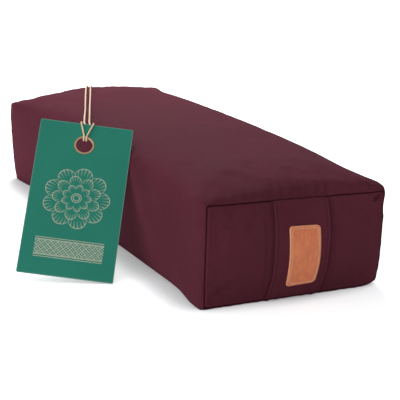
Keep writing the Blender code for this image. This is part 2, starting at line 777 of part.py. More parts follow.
def make_tag(board, brass, cotton):
    """The card's origin is the middle of its top edge, on its front face."""
    axes = card_axes()
    top = card_foot() + axes @ Vector((-CARD_WIDTH / 2, CARD_HEIGHT, 0.0))
    seat = bpy.data.objects.new("tag_hinge", None)
    seat.matrix_world = Matrix.Translation(top) @ axes
    PART.objects.link(seat)

    outline = rounded_outline(CARD_WIDTH, CARD_HEIGHT, CARD_CORNER, steps=2)
    bore = EYELET_BORE / 2 + EYELET_SHEET + GAP
    down = CARD_HEIGHT / 2 - EYELET_DROP
    hole = []
    for step in range(ROUND_STEPS):
        turn = math.tau * step / ROUND_STEPS
        hole.append((bore * math.cos(turn), down + bore * math.sin(turn)))
    card = flat_sheet("tag_card", [outline, hole], CARD_THICKNESS, board)
    card.parent = seat
    card.location = (0.0, -CARD_HEIGHT / 2, -CARD_THICKNESS / 2)

    seat_out = CARD_THICKNESS / 2 + EYELET_SEAT
    sheet_out = seat_out + EYELET_SHEET
    bore = EYELET_BORE / 2
    rim = bore + EYELET_RIM
    barrel = bore + EYELET_SHEET
    profile = [
        (rim, sheet_out),
        (rim, seat_out),
        (barrel, seat_out),
        (barrel, -seat_out),
        (rim, -seat_out),
        (rim, -sheet_out),
        (bore, -sheet_out),
        (bore, sheet_out),
    ]
    eyelet = turned("tag_eyelet", profile, ROUND_STEPS, brass)
    eyelet.parent = seat
    eyelet.location = (0.0, -EYELET_DROP, -CARD_THICKNESS / 2)

    place = Matrix.Translation(top) @ axes
    hitch = [place @ (Vector(point) / 1000) for point in HITCH_ROUTE]
    add_tube("tag_string_hitch", smooth_route(hitch, HITCH_POINTS), STRING_THICKNESS, cotton)
    start = [place @ (Vector(point) / 1000) for point in LEFT_START]
    finish = [place @ (Vector(point) / 1000) for point in RIGHT_START]
    strands = [*start, *(Vector(point) for point in STRAND_ROUTE), *reversed(finish)]
    add_tube("tag_string", smooth_route(strands, STRAND_POINTS), STRING_THICKNESS, cotton)

    bead = KNOT_SIZE / 2
    bore = STRING_THICKNESS / 2 + KNOT_SEAT
    half = KNOT_LENGTH / 2
    turns = [math.radians(degrees) for degrees in (40, 14, -14, -40)]
    profile = [(bead * math.cos(turn), half * math.sin(turn) / math.sin(turns[0])) for turn in turns]
    profile = [(bore, half), *profile, (bore, -half)]
    knot = turned("tag_string_knot", profile, ROUND_STEPS // 2, cotton)
    knot.location = KNOT_PLACE
    knot.rotation_euler = (0.0, math.pi / 2, 0.0)


def smooth_route(points, count):
    """Points on a smooth curve through the route, closer together where it bends.

    The first and the last stretch stay straight.
    """
    curve = []
    steps = 12
    for i in range(1, len(points) - 2):
        before, start, end, after = points[i - 1 : i + 3]
        chord = (end - start).length
        leave = (end - before).normalized() * chord
        arrive = (after - start).normalized() * chord
        for step in range(steps):
            t = step / steps
            curve.append(
                start * (2 * t**3 - 3 * t**2 + 1)
                + leave * (t**3 - 2 * t**2 + t)
                + end * (-2 * t**3 + 3 * t**2)
                + arrive * (t**3 - t**2)
            )
    curve.append(points[-2])
    turning = [0.0]
    for i in range(1, len(curve)):
        length = (curve[i] - curve[i - 1]).length
        bend = 0.0
        if i < len(curve) - 1:
            bend = (curve[i + 1] - curve[i]).angle(curve[i] - curve[i - 1])
        turning.append(turning[-1] + length / SPREAD_LENGTH + bend / SPREAD_BEND)
    kept = [points[0]]
    j = 0
    for k in range(count - 2):
        target = turning[-1] * k / (count - 3)
        while j < len(curve) - 2 and turning[j + 1] < target:
            j += 1
        share = (target - turning[j]) / max(turning[j + 1] - turning[j], 1e-9)
        kept.append(curve[j].lerp(curve[j + 1], min(max(share, 0.0), 1.0)))
    return [*kept, points[-1]]


def turned(name, profile, steps, finish):
    """A solid of revolution about its own Z from a closed (radius, height) profile."""
    mesh = bpy.data.meshes.new(name)
    edges = [(i, (i + 1) % len(profile)) for i in range(len(profile))]
    mesh.from_pydata([(r, 0.0, z) for r, z in profile], edges, [])
    piece = add(name, mesh, finish)
    spin = piece.modifiers.new("turn", "SCREW")
    spin.steps = steps
    spin.render_steps = steps
    spin.use_merge_vertices = True
    spin.merge_threshold = 0.00001
    return piece


def main():
    for piece in list(bpy.data.objects):
        bpy.data.objects.remove(piece)
    bpy.context.scene.collection.children.link(PART)
    bpy.context.scene.collection.children.link(CUTTERS)
    CUTTERS.hide_render = True

    twill = material("wine_twill", (0.115, 0.034, 0.050), 0.85)
    calico = material("calico", (0.78, 0.72, 0.60), 0.9)
    hulls = material("grain_hulls", (0.42, 0.27, 0.14), 0.9)
    leather = material("tan_leather", (0.47, 0.155, 0.065), 0.6)
    thread = material("tan_thread", (0.60, 0.24, 0.12), 0.7)
    tape = material("wine_zip_tape", (0.10, 0.03, 0.045), 0.8)
    coil = material("zip_coil", (0.09, 0.028, 0.04), 0.45)
    metal = material("zip_metal", (0.55, 0.53, 0.50), 0.35, 1.0)
    board = material("green_card", (0.022, 0.175, 0.125), 0.6)
    brass = material("rose_brass", (0.78, 0.50, 0.36), 0.3, 1.0)
    cotton = material("cream_cotton", (0.78, 0.62, 0.42), 0.9)

    make_cover(twill)
    make_inner_cushion(calico, hulls)
    make_handles(twill)
    make_patch(leather, thread)
    make_zips(tape, coil, metal, calico)
    make_tag(board, brass, cotton)


main()
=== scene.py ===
"""Yoga bolster: the finished look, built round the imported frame.

Metres, +Z up, in the frame's own axes: the long axis lies along Y, the end with the leather patch is at -Y
and the zips are on the +X side. Tables of shapes are in millimetres where their comment says so.
"""

import math

import bpy
import numpy as np
from mathutils import Matrix, Vector


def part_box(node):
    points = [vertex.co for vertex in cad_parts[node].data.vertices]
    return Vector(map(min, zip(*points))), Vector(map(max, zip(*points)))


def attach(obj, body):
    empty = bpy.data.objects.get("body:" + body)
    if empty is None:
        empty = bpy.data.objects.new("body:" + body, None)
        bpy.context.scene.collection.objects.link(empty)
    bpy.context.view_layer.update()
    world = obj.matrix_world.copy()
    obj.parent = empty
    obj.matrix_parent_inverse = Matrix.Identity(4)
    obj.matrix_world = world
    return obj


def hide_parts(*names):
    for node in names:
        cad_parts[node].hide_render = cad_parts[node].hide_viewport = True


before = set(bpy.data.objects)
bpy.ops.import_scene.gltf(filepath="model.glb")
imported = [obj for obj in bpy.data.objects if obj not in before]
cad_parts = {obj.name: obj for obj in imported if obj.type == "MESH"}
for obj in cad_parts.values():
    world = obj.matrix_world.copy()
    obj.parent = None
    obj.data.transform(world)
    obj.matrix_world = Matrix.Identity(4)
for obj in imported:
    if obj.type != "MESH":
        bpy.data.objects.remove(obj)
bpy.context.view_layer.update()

BODY = "bolster"
COVER_LOW, COVER_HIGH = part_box("cover_wrap")

# Form of the cushion, as its solids have it
HALF_LENGTH = (COVER_HIGH.y - COVER_LOW.y) / 2
HALF_WIDTH = (COVER_HIGH.x - COVER_LOW.x) / 2
SEAM_HEIGHT = 0.116
HALF_SEAM = SEAM_HEIGHT / 2
CROWN = 0.0193
CROWN_POWER = 2.5
SINK = 0.0047
TOP_SWELL = 0.0185
SWELL_RISE = 3
SWELL_FALL = 8
END_SQUARENESS = 7.7
MIDDLE_SQUARENESS = 6.1
CORNER_SHARPNESS = 160.0  # how much squarer the section is right at the end seams
CORNER_REACH = 0.012
LOW_SHARPNESS = 4.0  # how much squarer its lower half is, where the weight rests
END_BULGE = 0.011
PANEL_SIDE_POWER = 3.0  # how full the end panels are towards their sides
GAP = 0.0003
CLOTH = 0.0008

# The opening of the cover's zip
ZIP_LOW = 0.040
ZIP_TOP = 0.050
ZIP_HALF = HALF_LENGTH - 0.050

# The soft form of the ends in millimetres, as seen from outside each end: by the place from left (-1) to
# right (1), or by height. The key of each is the end's sign along Y, and in SIDE_PULL then the side's.
SLUMP_REACH = 0.070
TOP_SLUMP = {
    -1: ((-1.0, 2.5), (-0.9, 1.5), (-0.5, 0.0), (0.5, 0.2), (0.8, 2.4), (0.9, 4.8), (0.96, 6.4), (1.0, 7.0)),
    1: (
        *((-1.0, 1.4), (-0.92, 1.0), (-0.83, 2.0), (-0.5, -0.2), (-0.3, -0.9), (0.0, -1.2), (0.30, -0.5)),
        *((0.46, 1.1), (0.67, 4.1), (0.80, 6.2), (0.9, 7.4), (1.0, 8.4)),
    ),
}
SIDE_PULL = {
    -1: {
        1: (
            *((0.0, 4.0), (0.008, 3.0), (0.017, 2.0), (0.026, 0.6), (0.044, 0.0)),
            *((0.080, -1.4), (0.094, -0.6), (0.101, -1.8), (0.110, -2.2)),
        ),
        -1: ((0.0, -1.6), (0.016, -0.8), (0.030, 0.0)),
    },
    1: {
        1: ((0.0, 5.0), (0.017, 2.4), (0.040, 0.8), (0.063, -0.4), (0.090, -1.8), (0.110, -1.4)),
        -1: ((0.0, 0.0), (0.090, 1.0), (0.120, 3.0)),
    },
}
# Rise of the top edge over the zip in millimetres, by the place along Y
EDGE_RISE = (
    *((-0.305, 0.0), (-0.285, 1.6), (-0.26, 1.0), (-0.20, 0.6), (-0.12, 1.8), (-0.04, 2.0)),
    *((0.06, 0.8), (0.15, -1.0), (0.22, -1.6), (0.26, -1.0), (0.29, 0.0)),
)
# Lift of the lower edge near the ends, and how far the top edge and the sides have rolled in at the end
# seams, in millimetres in the same way
BOTTOM_LIFT = {
    -1: ((0.82, 0.0), (0.89, 0.8), (0.94, 2.2), (1.0, 5.6)),
    1: ((-1.0, 4.0), (-0.9, 0.5), (-0.8, 0.0)),
}
TOP_INSET = {
    -1: (
        *((-1.0, 2.0), (-0.8, 4.2), (-0.55, 5.6), (-0.08, 7.0)),
        *((0.34, 8.2), (0.82, 7.6), (0.93, 5.2), (1.0, 3.0)),
    ),
    1: ((-1.0, 2.0), (-0.5, 3.6), (0.0, 3.6), (0.8, 4.5), (1.0, 3.5)),
}
LEFT_INSET = ((0.0, 3.0), (0.007, 3.2), (0.028, 1.8), (0.049, 2.1), (0.079, 2.7), (0.112, 3.0))
RIGHT_INSET = ((0.0, 1.6), (0.030, 0.8), (0.060, 0.5), (0.110, 0.9))
BOTTOM_INSET = 0.0008
ROLL_RUN = 0.0040
ROLL_SHARE = 0.9  # of the inset that is added to the run

# Cells round a section: the side under the zip, the zip, the side over it, the top, the other side and
# the underside
CELLS = (7, 2, 12, 39, 21, 39)
SIDE_CELLS = CELLS[0] + CELLS[1] + CELLS[2]
TOP_CELLS = CELLS[3]
RING = sum(CELLS)
COARSE_ROWS = 111
FINE = 2  # fine cells to a coarse one
PANEL_FINE = 4
QUARTER = 400  # steps of a section's plain outline to a quarter turn

SECTION_MIDDLE = np.array([0.0, HALF_SEAM])
SECTION_HALF = np.array([HALF_WIDTH, HALF_SEAM])


def bell(distance, width):
    """1 at no distance, and close to 0 beyond twice the width."""
    return np.exp(-((distance / width) ** 2))


def by_table(values, table):
    """Reads a table whose amounts are in millimetres."""
    places, amounts = zip(*table)
    return np.interp(values, places, np.array(amounts) / 1000)


def drawn_in(flat, inset):
    """Points of a section, as x and z, moved in towards its middle."""
    return (flat - SECTION_MIDDLE) * (1 - inset / SECTION_HALF) + SECTION_MIDDLE


def fullness(y):
    """0 at the end seams and 1 in the middle."""
    return 1.0 - np.minimum(np.abs(y) / HALF_LENGTH, 1.0) ** CROWN_POWER


def half_height(y):
    return (SEAM_HEIGHT + CROWN * fullness(y)) / 2


def middle_height(y):
    return half_height(y) - SINK * fullness(y)


def squareness(y):
    plain = END_SQUARENESS + (MIDDLE_SQUARENESS - END_SQUARENESS) * fullness(y)
    distance = max(HALF_LENGTH - abs(y), 0.0)
    return plain + CORNER_SHARPNESS * math.exp(-distance / CORNER_REACH)


def top_swell(x, y):
    """How much higher the top is at this place than the superellipse."""
    across = np.minimum(np.abs(x) / HALF_WIDTH, 1.0)
    along = np.minimum(np.abs(y) / HALF_LENGTH, 1.0)
    return TOP_SWELL * (1 - across**2) * along**SWELL_RISE * (1 - along**SWELL_FALL)


def section(y, fine):
    """x and z of the points round the cushion's section at y, fine to a coarse cell."""
    turn = np.linspace(-math.pi / 4, math.tau - math.pi / 4, 4 * QUARTER + 1)
    across, up = np.cos(turn), np.sin(turn)
    low = LOW_SHARPNESS * (0.3 + 0.7 * (y / HALF_LENGTH) ** 2)
    power = 2.0 / (squareness(y) + np.where(up < 0, low, 0.0))
    x = HALF_WIDTH * np.sign(across) * np.abs(across) ** power
    z = half_height(y) * np.sign(up) * np.abs(up) ** power + middle_height(y)
    z += np.where(up > 0, top_swell(x, y), 0.0)
    run = np.concatenate(([0.0], np.cumsum(np.hypot(np.diff(x), np.diff(z)))))
    zip_marks = np.interp((ZIP_LOW, ZIP_TOP), z[: QUARTER + 1], run[: QUARTER + 1])
    corners = run[::QUARTER]
    marks = [corners[0], *zip_marks, *corners[1:]]
    places = np.concatenate(
        [
            np.linspace(start, end, cells * fine, endpoint=False)
            for start, end, cells in zip(marks, marks[1:], CELLS)
        ]
    )
    return np.interp(places, run, x), np.maximum(np.interp(places, run, z), 0.0)


def wrap_points(rows, fine):
    """Grid of points (row, place round the section) of the long panel."""
    grid = []
    for y in rows:
        x, z = section(y, fine)
        grid.append(np.stack([x, np.full_like(x, y), z], axis=-1))
    return np.array(grid)


def slumped(points, rows):
    """The form with the slack that its four upper corners have, and the uneven sides at its ends."""
    x, z = points[..., 0].copy(), points[..., 2].copy()
    height = points[..., 2]
    distance = (HALF_LENGTH - np.abs(rows))[:, None]
    edge = np.clip(points[..., 0] / HALF_WIDTH, 0, 1) ** 6 * np.clip(height / SEAM_HEIGHT, 0, 1) ** 3
    z += by_table(rows, EDGE_RISE)[:, None] * edge
    upper = np.clip((height - HALF_SEAM) / HALF_SEAM, 0, 1.1)
    lower = np.clip(1 - height / HALF_SEAM, 0, 1)
    for sign in (-1, 1):
        near = np.where((np.sign(rows) == sign)[:, None], bell(distance, SLUMP_REACH), 0.0)
        across = -sign * points[..., 0] / HALF_WIDTH
        z -= near * by_table(across, TOP_SLUMP[sign]) * upper**2
        z += near**3 * by_table(across, BOTTOM_LIFT[sign]) * lower**3
        for side, table in SIDE_PULL[sign].items():
            share = np.clip(side * across, 0, 1)
            x += sign * side * near * by_table(height, table) * share**3
    return np.stack([x, points[..., 1], np.maximum(z, 0.0)], axis=-1)


def rolled(points, rows):
    """The form with its edges rolled in towards both end seams."""
    x, z = points[..., 0].copy(), points[..., 2].copy()
    height = points[..., 2]
    distance = (HALF_LENGTH - np.abs(rows))[:, None]
    for sign in (-1, 1):
        here = (np.sign(rows) == sign)[:, None]
        across = -sign * points[..., 0] / HALF_WIDTH
        upper = np.where(height > HALF_SEAM, by_table(across, TOP_INSET[sign]), BOTTOM_INSET)
        sideways = np.where(across < 0, by_table(height, LEFT_INSET), by_table(height, RIGHT_INSET))
        z -= here * (height - HALF_SEAM) / HALF_SEAM * roll(distance, upper)
        x -= here * points[..., 0] / HALF_WIDTH * roll(distance, sideways)
    return np.stack([x, points[..., 1], np.maximum(z, 0.0)], axis=-1)


def roll(distance, inset):
    """How far an edge has rolled in at this distance from its seam."""
    run = ROLL_RUN + ROLL_SHARE * inset
    return inset * np.clip(1 - distance / run, 0, 1) ** 2


def wrap_normals(points):
    along = np.gradient(points, axis=0)
    around = np.roll(points, -1, axis=1) - np.roll(points, 1, axis=1)
    normal = np.cross(along, around)
    return normal / np.maximum(np.linalg.norm(normal, axis=-1, keepdims=True), 1e-12)


def patch_grid(edge, fine, shares_x, shares_z):
    """Points (z row, x column, 2) that fill a closed edge, which is a ring of the long panel, as x and z."""
    u = shares_x[None, :, None]
    v = shares_z[:, None, None]
    side, top = SIDE_CELLS * fine, TOP_CELLS * fine
    ring = np.concatenate([edge, edge[:1]])
    right = along_side(ring[: side + 1], shares_z)[:, None]
    left = along_side(ring[side + top : 2 * side + top + 1][::-1], shares_z)[:, None]
    bottom = along_side(ring[2 * side + top :], shares_x)[None]
    top = along_side(ring[side : side + top + 1][::-1], shares_x)[None]
    corners = (
        (1 - u) * (1 - v) * bottom[:, :1]
        + u * (1 - v) * bottom[:, -1:]
        + (1 - u) * v * top[:, :1]
        + u * v * top[:, -1:]
    )
    return (1 - v) * bottom + v * top + (1 - u) * left + u * right - corners


def along_side(line, shares):
    """Points at these shares of a side's cells."""
    places = np.linspace(0, 1, len(line))
    return np.stack([np.interp(shares, places, line[:, i]) for i in range(2)], axis=-1)


def panel_swell(shares_x, shares_z):
    """How far an end panel swells out, by the shares of its width and height."""
    across = np.abs(2 * shares_x - 1)[None, :]
    up = np.abs(2 * shares_z - 1)[:, None]
    return END_BULGE * (1 - across**PANEL_SIDE_POWER) * (1 - up**2)


def linked(name, data):
    """A new object in the scene."""
    piece = bpy.data.objects.new(name, data)
    bpy.context.scene.collection.objects.link(piece)
    return piece


# Cloth simulation: the closed cushion is blown up inside a cover whose end seams are drawn in

SIM_FRAMES = 16
CLOTH_SETTINGS = {
    "quality": 5,
    "mass": 0.15,
    "tension_stiffness": 20,
    "compression_stiffness": 20,
    "shear_stiffness": 8,
    "bending_stiffness": 0.35,
    "use_pressure": True,
    "uniform_pressure_force": 3.0,
    "vertex_group_shrink": "seam",
    "shrink_min": -0.012,  # the cloth is cut this much larger than the form, so that it wrinkles
    "shrink_max": 0.07,
    "vertex_group_mass": "held",
    "pin_stiffness": 0.5,
}
WRINKLE_LIMIT = 0.0030  # the most that a wrinkle stands out
WRINKLE_SHARE = 0.55  # of that height that is used
SWELLING_PASSES = 60  # of blurring, after which only the swelling of the whole form is left
END_ROWS = 10
CALM_ROWS = 8


def closed_form():
    """Vertices and faces of the whole cushion: the long panel's grid, then the inside of each end panel."""
    wrap = wrap_points(np.linspace(-HALF_LENGTH, HALF_LENGTH, COARSE_ROWS), 1)
    vertices = [wrap.reshape(-1, 3)]
    index = np.arange(COARSE_ROWS * RING).reshape(COARSE_ROWS, RING)
    faces = []
    for j in range(COARSE_ROWS - 1):
        for i in range(RING):
            k = (i + 1) % RING
            faces.append((index[j, i], index[j + 1, i], index[j + 1, k], index[j, k]))
    panels = []
    shares_x, shares_z = np.linspace(0, 1, TOP_CELLS + 1), np.linspace(0, 1, SIDE_CELLS + 1)
    for sign, row in ((-1, 0), (1, COARSE_ROWS - 1)):
        filled = patch_grid(wrap[row][:, [0, 2]], 1, shares_x, shares_z)
        y = sign * (HALF_LENGTH + panel_swell(shares_x, shares_z))
        points = np.stack([filled[..., 0], y, filled[..., 1]], axis=-1)
        place = np.zeros((SIDE_CELLS + 1, TOP_CELLS + 1), int)
        for r in range(RING):
            place[border_cell(r)] = index[row][r]
        inner = points[1:-1, 1:-1].reshape(-1, 3)
        first = sum(len(part) for part in vertices)
        place[1:-1, 1:-1] = first + np.arange(len(inner)).reshape(SIDE_CELLS - 1, TOP_CELLS - 1)
        vertices.append(inner)
        for j in range(SIDE_CELLS):
            for i in range(TOP_CELLS):
                face = (place[j, i], place[j, i + 1], place[j + 1, i + 1], place[j + 1, i])
                faces.append(face if sign < 0 else face[::-1])
        panels.append(place)
    return np.concatenate(vertices), faces, index, panels


def border_cell(r):
    """(row, column) on an end panel's grid of a place on the ring."""
    if r <= SIDE_CELLS:
        return r, TOP_CELLS
    if r <= SIDE_CELLS + TOP_CELLS:
        return SIDE_CELLS, TOP_CELLS - (r - SIDE_CELLS)
    if r <= 2 * SIDE_CELLS + TOP_CELLS:
        return SIDE_CELLS - (r - SIDE_CELLS - TOP_CELLS), 0
    return 0, r - 2 * SIDE_CELLS - TOP_CELLS


def simulate():
    """Heights of the wrinkles over the plain form, on the coarse grids of the long panel and both ends."""
    vertices, faces, index, panels = closed_form()
    mesh = bpy.data.meshes.new("sim")
    mesh.from_pydata(vertices.tolist(), [], [tuple(int(v) for v in face) for face in faces])
    mesh.update()
    form = linked("sim", mesh)
    normals = np.zeros(len(vertices) * 3)
    mesh.vertex_normals.foreach_get("vector", normals)

    seam = form.vertex_groups.new(name="seam")
    for row, weight in ((0, 1.0), (1, 0.5), (COARSE_ROWS - 1, 1.0), (COARSE_ROWS - 2, 0.5)):
        seam.add([int(v) for v in index[row]], weight, "REPLACE")
    held = form.vertex_groups.new(name="held")
    inside_zip = np.abs(vertices[index[:, 0], 1]) < ZIP_HALF + 0.01
    zip_columns = range(CELLS[0] - 1, CELLS[0] + CELLS[1] + 2)
    held.add([int(index[j, i]) for j in np.flatnonzero(inside_zip) for i in zip_columns], 1.0, "REPLACE")

    cloth = form.modifiers.new("cloth", "CLOTH")
    for key, value in CLOTH_SETTINGS.items():
        setattr(cloth.settings, key, value)
    cloth.settings.effector_weights.gravity = 0
    cloth.collision_settings.use_collision = False
    cloth.point_cache.frame_start = 1
    cloth.point_cache.frame_end = SIM_FRAMES
    for step in range(1, SIM_FRAMES + 1):
        bpy.context.scene.frame_set(step)
    result = form.evaluated_get(bpy.context.evaluated_depsgraph_get()).to_mesh()
    moved = np.zeros(len(vertices) * 3)
    result.vertices.foreach_get("co", moved)
    heights = ((moved.reshape(-1, 3) - vertices) * normals.reshape(-1, 3)).sum(axis=1)
    bpy.context.scene.frame_set(1)
    bpy.data.objects.remove(form)
    bpy.data.meshes.remove(mesh)
    return wrinkles_only(heights[index], True), [wrinkles_only(heights[place], False) for place in panels]


def blurred(values, passes, ring):
    for _ in range(passes):
        wide = np.roll(values, 1, axis=1) + np.roll(values, -1, axis=1)
        if not ring:
            wide[:, 0] = values[:, 0] + values[:, 1]
            wide[:, -1] = values[:, -1] + values[:, -2]
        padded = np.pad(values, ((1, 1), (0, 0)), mode="edge")
        values = (values * 2 + wide + padded[2:] + padded[:-2]) / 6
    return values


def wrinkles_only(heights, ring):
    """Leaves out the swelling of the whole form and of its edges, and limits what is left."""
    detail = heights - blurred(heights, SWELLING_PASSES, ring)
    if ring:
        detail -= detail[END_ROWS:-END_ROWS].mean(axis=0, keepdims=True)
        from_end = np.minimum(np.arange(len(detail)), np.arange(len(detail))[::-1])
        detail *= np.clip(from_end / CALM_ROWS, 0, 1)[:, None]
    return WRINKLE_SHARE * WRINKLE_LIMIT * np.tanh(detail / WRINKLE_LIMIT)


WRAP_SIM = np.zeros((COARSE_ROWS, RING))
END_SIM = [np.zeros((SIDE_CELLS + 1, TOP_CELLS + 1)) for _ in range(2)]
WRAP_SIM, END_SIM = simulate()


def sampled(grid, rows, columns, ring):
    """Reads a coarse grid at fractional rows and columns."""
    if ring:
        grid = np.concatenate([grid, grid[:, :1]], axis=1)
    across = np.array([np.interp(columns, np.arange(grid.shape[1]), row) for row in grid])
    return np.array([np.interp(rows, np.arange(grid.shape[0]), column) for column in across.T]).T


# Meshes


def piece_of(name, vertices, faces):
    """A new smooth piece."""
    mesh = bpy.data.meshes.new(name)
    mesh.from_pydata(vertices, [], faces)
    mesh.shade_smooth()
    return linked(name, mesh)


def grid_object(name, points, uv, closed=False, capped=False, left_out=None):
    """A smooth sheet through a grid of points. uv has one more column than the points when it is closed."""
    rows, columns = points.shape[:2]
    index = np.arange(rows * columns).reshape(rows, columns).tolist()
    faces = []
    loops = []
    for j in range(rows - 1):
        for i in range(columns if closed else columns - 1):
            if left_out and left_out(j, i):
                continue
            k = (i + 1) % columns
            faces.append((index[j][i], index[j + 1][i], index[j + 1][k], index[j][k]))
            loops += [uv[j, i], uv[j + 1, i], uv[j + 1, i + 1], uv[j, i + 1]]
    if capped:
        faces += [index[0], index[-1][::-1]]
        loops += [(0.0, 0.0)] * (2 * columns)
    piece = piece_of(name, points.reshape(-1, 3).tolist(), faces)
    layer = piece.data.uv_layers.new(name="cloth")
    layer.data.foreach_set("uv", np.array(loops, dtype=np.float32).ravel())
    if capped:
        piece.data.set_sharp_from_angle(angle=math.radians(60))
    return piece


def tubes(name, all_rings):
    """One smooth piece of closed tubes, each given by its rings of points."""
    vertices = []
    faces = []
    for rings in all_rings:
        count, sides = len(rings), len(rings[0])
        index = (len(vertices) + np.arange(count * sides)).reshape(count, sides)
        beside = np.roll(index, -1, axis=1)
        walls = np.stack([index[:-1], beside[:-1], beside[1:], index[1:]], axis=-1)
        faces += [*walls.reshape(-1, 4).tolist(), index[0, ::-1].tolist(), index[-1].tolist()]
        vertices += np.concatenate(rings).tolist()
    return piece_of(name, vertices, faces)


def circle(centre, across, up, radius, sides):
    """Points round a centre. The radius may be a column with one for each."""
    turns = math.tau * np.arange(sides)[:, None] / sides
    return np.array(centre) + (np.cos(turns) * across + np.sin(turns) * up) * radius


def wear(piece, material):
    piece.data.materials.clear()
    piece.data.materials.append(material)


def paint(node, material):
    wear(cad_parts[node], material)


def finish_piece(piece, material, body, slot, *nodes):
    wear(piece, material)
    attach(piece, body)
    if nodes:
        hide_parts(*nodes)


def finish_cloth(piece, material, node):
    """Gives a sewn panel its thickness, inwards."""
    layer = piece.modifiers.new("cloth", "SOLIDIFY")
    layer.thickness = CLOTH
    layer.offset = -1.0
    layer.use_quality_normals = True
    finish_piece(piece, material, BODY, "twill", node)


def run_around(points):
    """Distance round each ring of points, from its first point on and back to it."""
    lengths = np.linalg.norm(np.roll(points, -1, axis=1) - points, axis=-1)
    return np.concatenate([np.zeros((len(points), 1)), np.cumsum(lengths, axis=1)], axis=1)


def run_along(line):
    """Distance along a line to each of its points."""
    return np.concatenate([[0.0], np.cumsum(np.linalg.norm(np.diff(line, axis=0), axis=1))])


def resampled(line, spacing):
    """Points at even steps along a line."""
    line = np.array(line)
    run = run_along(line)
    wanted = np.linspace(0, run[-1], max(int(round(run[-1] / spacing)), 2) + 1)
    return np.stack([np.interp(wanted, run, line[:, i]) for i in range(3)], axis=1)


def side_by_side(*coordinates):
    """Points from their coordinates, which may be constant along a row or a column."""
    return np.stack(np.broadcast_arrays(*coordinates), axis=-1)


def with_rim(points):
    """The grid with its edge doubled, and which of its points are the new ones."""
    wide = np.pad(points, ((1, 1), (1, 1), (0, 0)), mode="edge")
    rim = np.ones(wide.shape[:2], bool)
    rim[1:-1, 1:-1] = False
    return wide, rim


def crease_height(points, route, width, height):
    """Height of a fold that fades out at both ends of its route. The fold is given in millimetres."""
    route = np.array(route) / 1000
    lengths = np.linalg.norm(np.diff(route, axis=0), axis=1)
    nearest = np.full(points.shape[:-1], np.inf)
    share = np.zeros(points.shape[:-1])
    gone = 0.0
    for start, end, length in zip(route, route[1:], lengths):
        t = np.clip(((points - start) @ (end - start)) / length**2, 0, 1)
        distance = np.linalg.norm(points - (start + t[..., None] * (end - start)), axis=-1)
        closer = distance < nearest
        nearest = np.where(closer, distance, nearest)
        share = np.where(closer, (gone + t * length) / lengths.sum(), share)
        gone += length
    fade = np.clip(4 * share * (1 - share), 0, 1) ** 0.7
    return height / 1000 * bell(nearest, width / 1000) * (0.15 + 0.85 * fade)


def ripple(place, seed, pitch):
    """A smooth, uneven wave along a line, from -1 to 1, that is the same on every run."""
    random = np.random.default_rng(seed)
    total = np.zeros_like(place)
    for octave in range(4):
        wave = pitch * random.uniform(0.7, 1.6) / 1.45**octave
        total += np.sin(math.tau * (place / wave + random.uniform())) * random.uniform(0.5, 1.0)
    return total / 2.4


# The long panel

# Folds that the photograph shows on it, in millimetres: (points, width, height)
WRAP_CREASES = (
    # from the near left corner back along the roll
    (((-107.5, -296, 112), (-107.8, -282, 113.5), (-106.5, -262, 115)), 4.5, 1.2),
    (((-106, -297, 115.5), (-96, -284, 116.5), (-88, -268, 118)), 5, -0.9),
    (((-108.5, -297, 100), (-108.5, -280, 90), (-108.5, -258, 85)), 6, 0.8),
    (((-108.5, -297, 18), (-108.5, -283, 26), (-108.5, -262, 30)), 5.5, 1),
    (((-108.5, -296, 8), (-108.5, -284, 12), (-108.5, -268, 13)), 4, -1),
    # over the near top seam, towards the right
    (((55, -296, 116.5), (50, -280, 119), (42, -262, 121)), 5, 0.8),
    (((72, -296, 116.5), (70, -283, 118.5), (62, -266, 120)), 4.5, -0.9),
    (((86, -297, 116), (80, -283, 118), (74, -272, 119)), 4.5, 0.9),
    (((100, -297, 115.5), (95, -281, 116.5), (90, -262, 118)), 5, -1.1),
    # soft diagonals on the long side
    (((-108.5, -205, 98), (-108.5, -150, 70), (-108.5, -105, 52)), 11, 0.9),
    (((-108.5, -150, 100), (-108.5, -100, 78), (-108.5, -60, 64)), 10, -0.7),
    (((-108.5, -250, 30), (-108.5, -190, 24), (-108.5, -130, 26)), 9, 0.8),
)
HIGH_FOLD = 0.002  # what stands out over this is halved
# Where the wrinkles of the simulation are held down: over the far long edge of the top, and beside the zip
FAR_EDGE = 0.092
FAR_EDGE_REACH = 0.035
FAR_EDGE_FOOT = 0.075
FAR_EDGE_SHARE = 0.75
ZIP_CALM = 0.006
ZIP_CALM_RUN = 0.020

# Distances from the end seam of the fine rows, up to where the even rows start
EDGE_ROWS = (0.0, 0.0006, 0.0013, 0.0022, 0.0034, 0.0048, 0.0064, 0.0082, 0.0104, 0.0130)
# The hem that turns in at the seam: (distance from the seam, extra inset)
HEM = ((0.0044, 0.0052), (0.0040, 0.0022), (0.0028, 0.0006), (0.0008, 0.0002))

# First and last place of the opening round the fine section, and how far its edges roll in
ZIP_START = CELLS[0] * FINE
ZIP_END = ZIP_START + CELLS[1] * FINE
ZIP_TUCKS = ((ZIP_START, 0.0010), (ZIP_START - 1, 0.0002), (ZIP_END, 0.0010), (ZIP_END + 1, 0.0002))

# Gathers at the end seams, and the roll of cloth behind them
PUCKER_HEIGHT = 0.00042
PUCKER_PITCH = 0.021
PUCKER_PLACE = 0.005
PUCKER_REACH = 0.014
PUCKER_SPREAD = 0.008  # how much that reach varies
PUCKER_SPREAD_PITCH = 0.05
SEAM_ROLL_HEIGHT = 0.0011
SEAM_ROLL_PLACE = 0.016
SEAM_ROLL_WIDTH = 0.011


def fine_rows():
    step = 2 * HALF_LENGTH / (COARSE_ROWS - 1) / FINE
    start = HALF_LENGTH - EDGE_ROWS[-1] - step
    middle = np.arange(-start, start + step / 2, 2 * start / round(2 * start / step))
    close = HALF_LENGTH - np.array(EDGE_ROWS)
    return np.concatenate([-close, middle, close[::-1]])


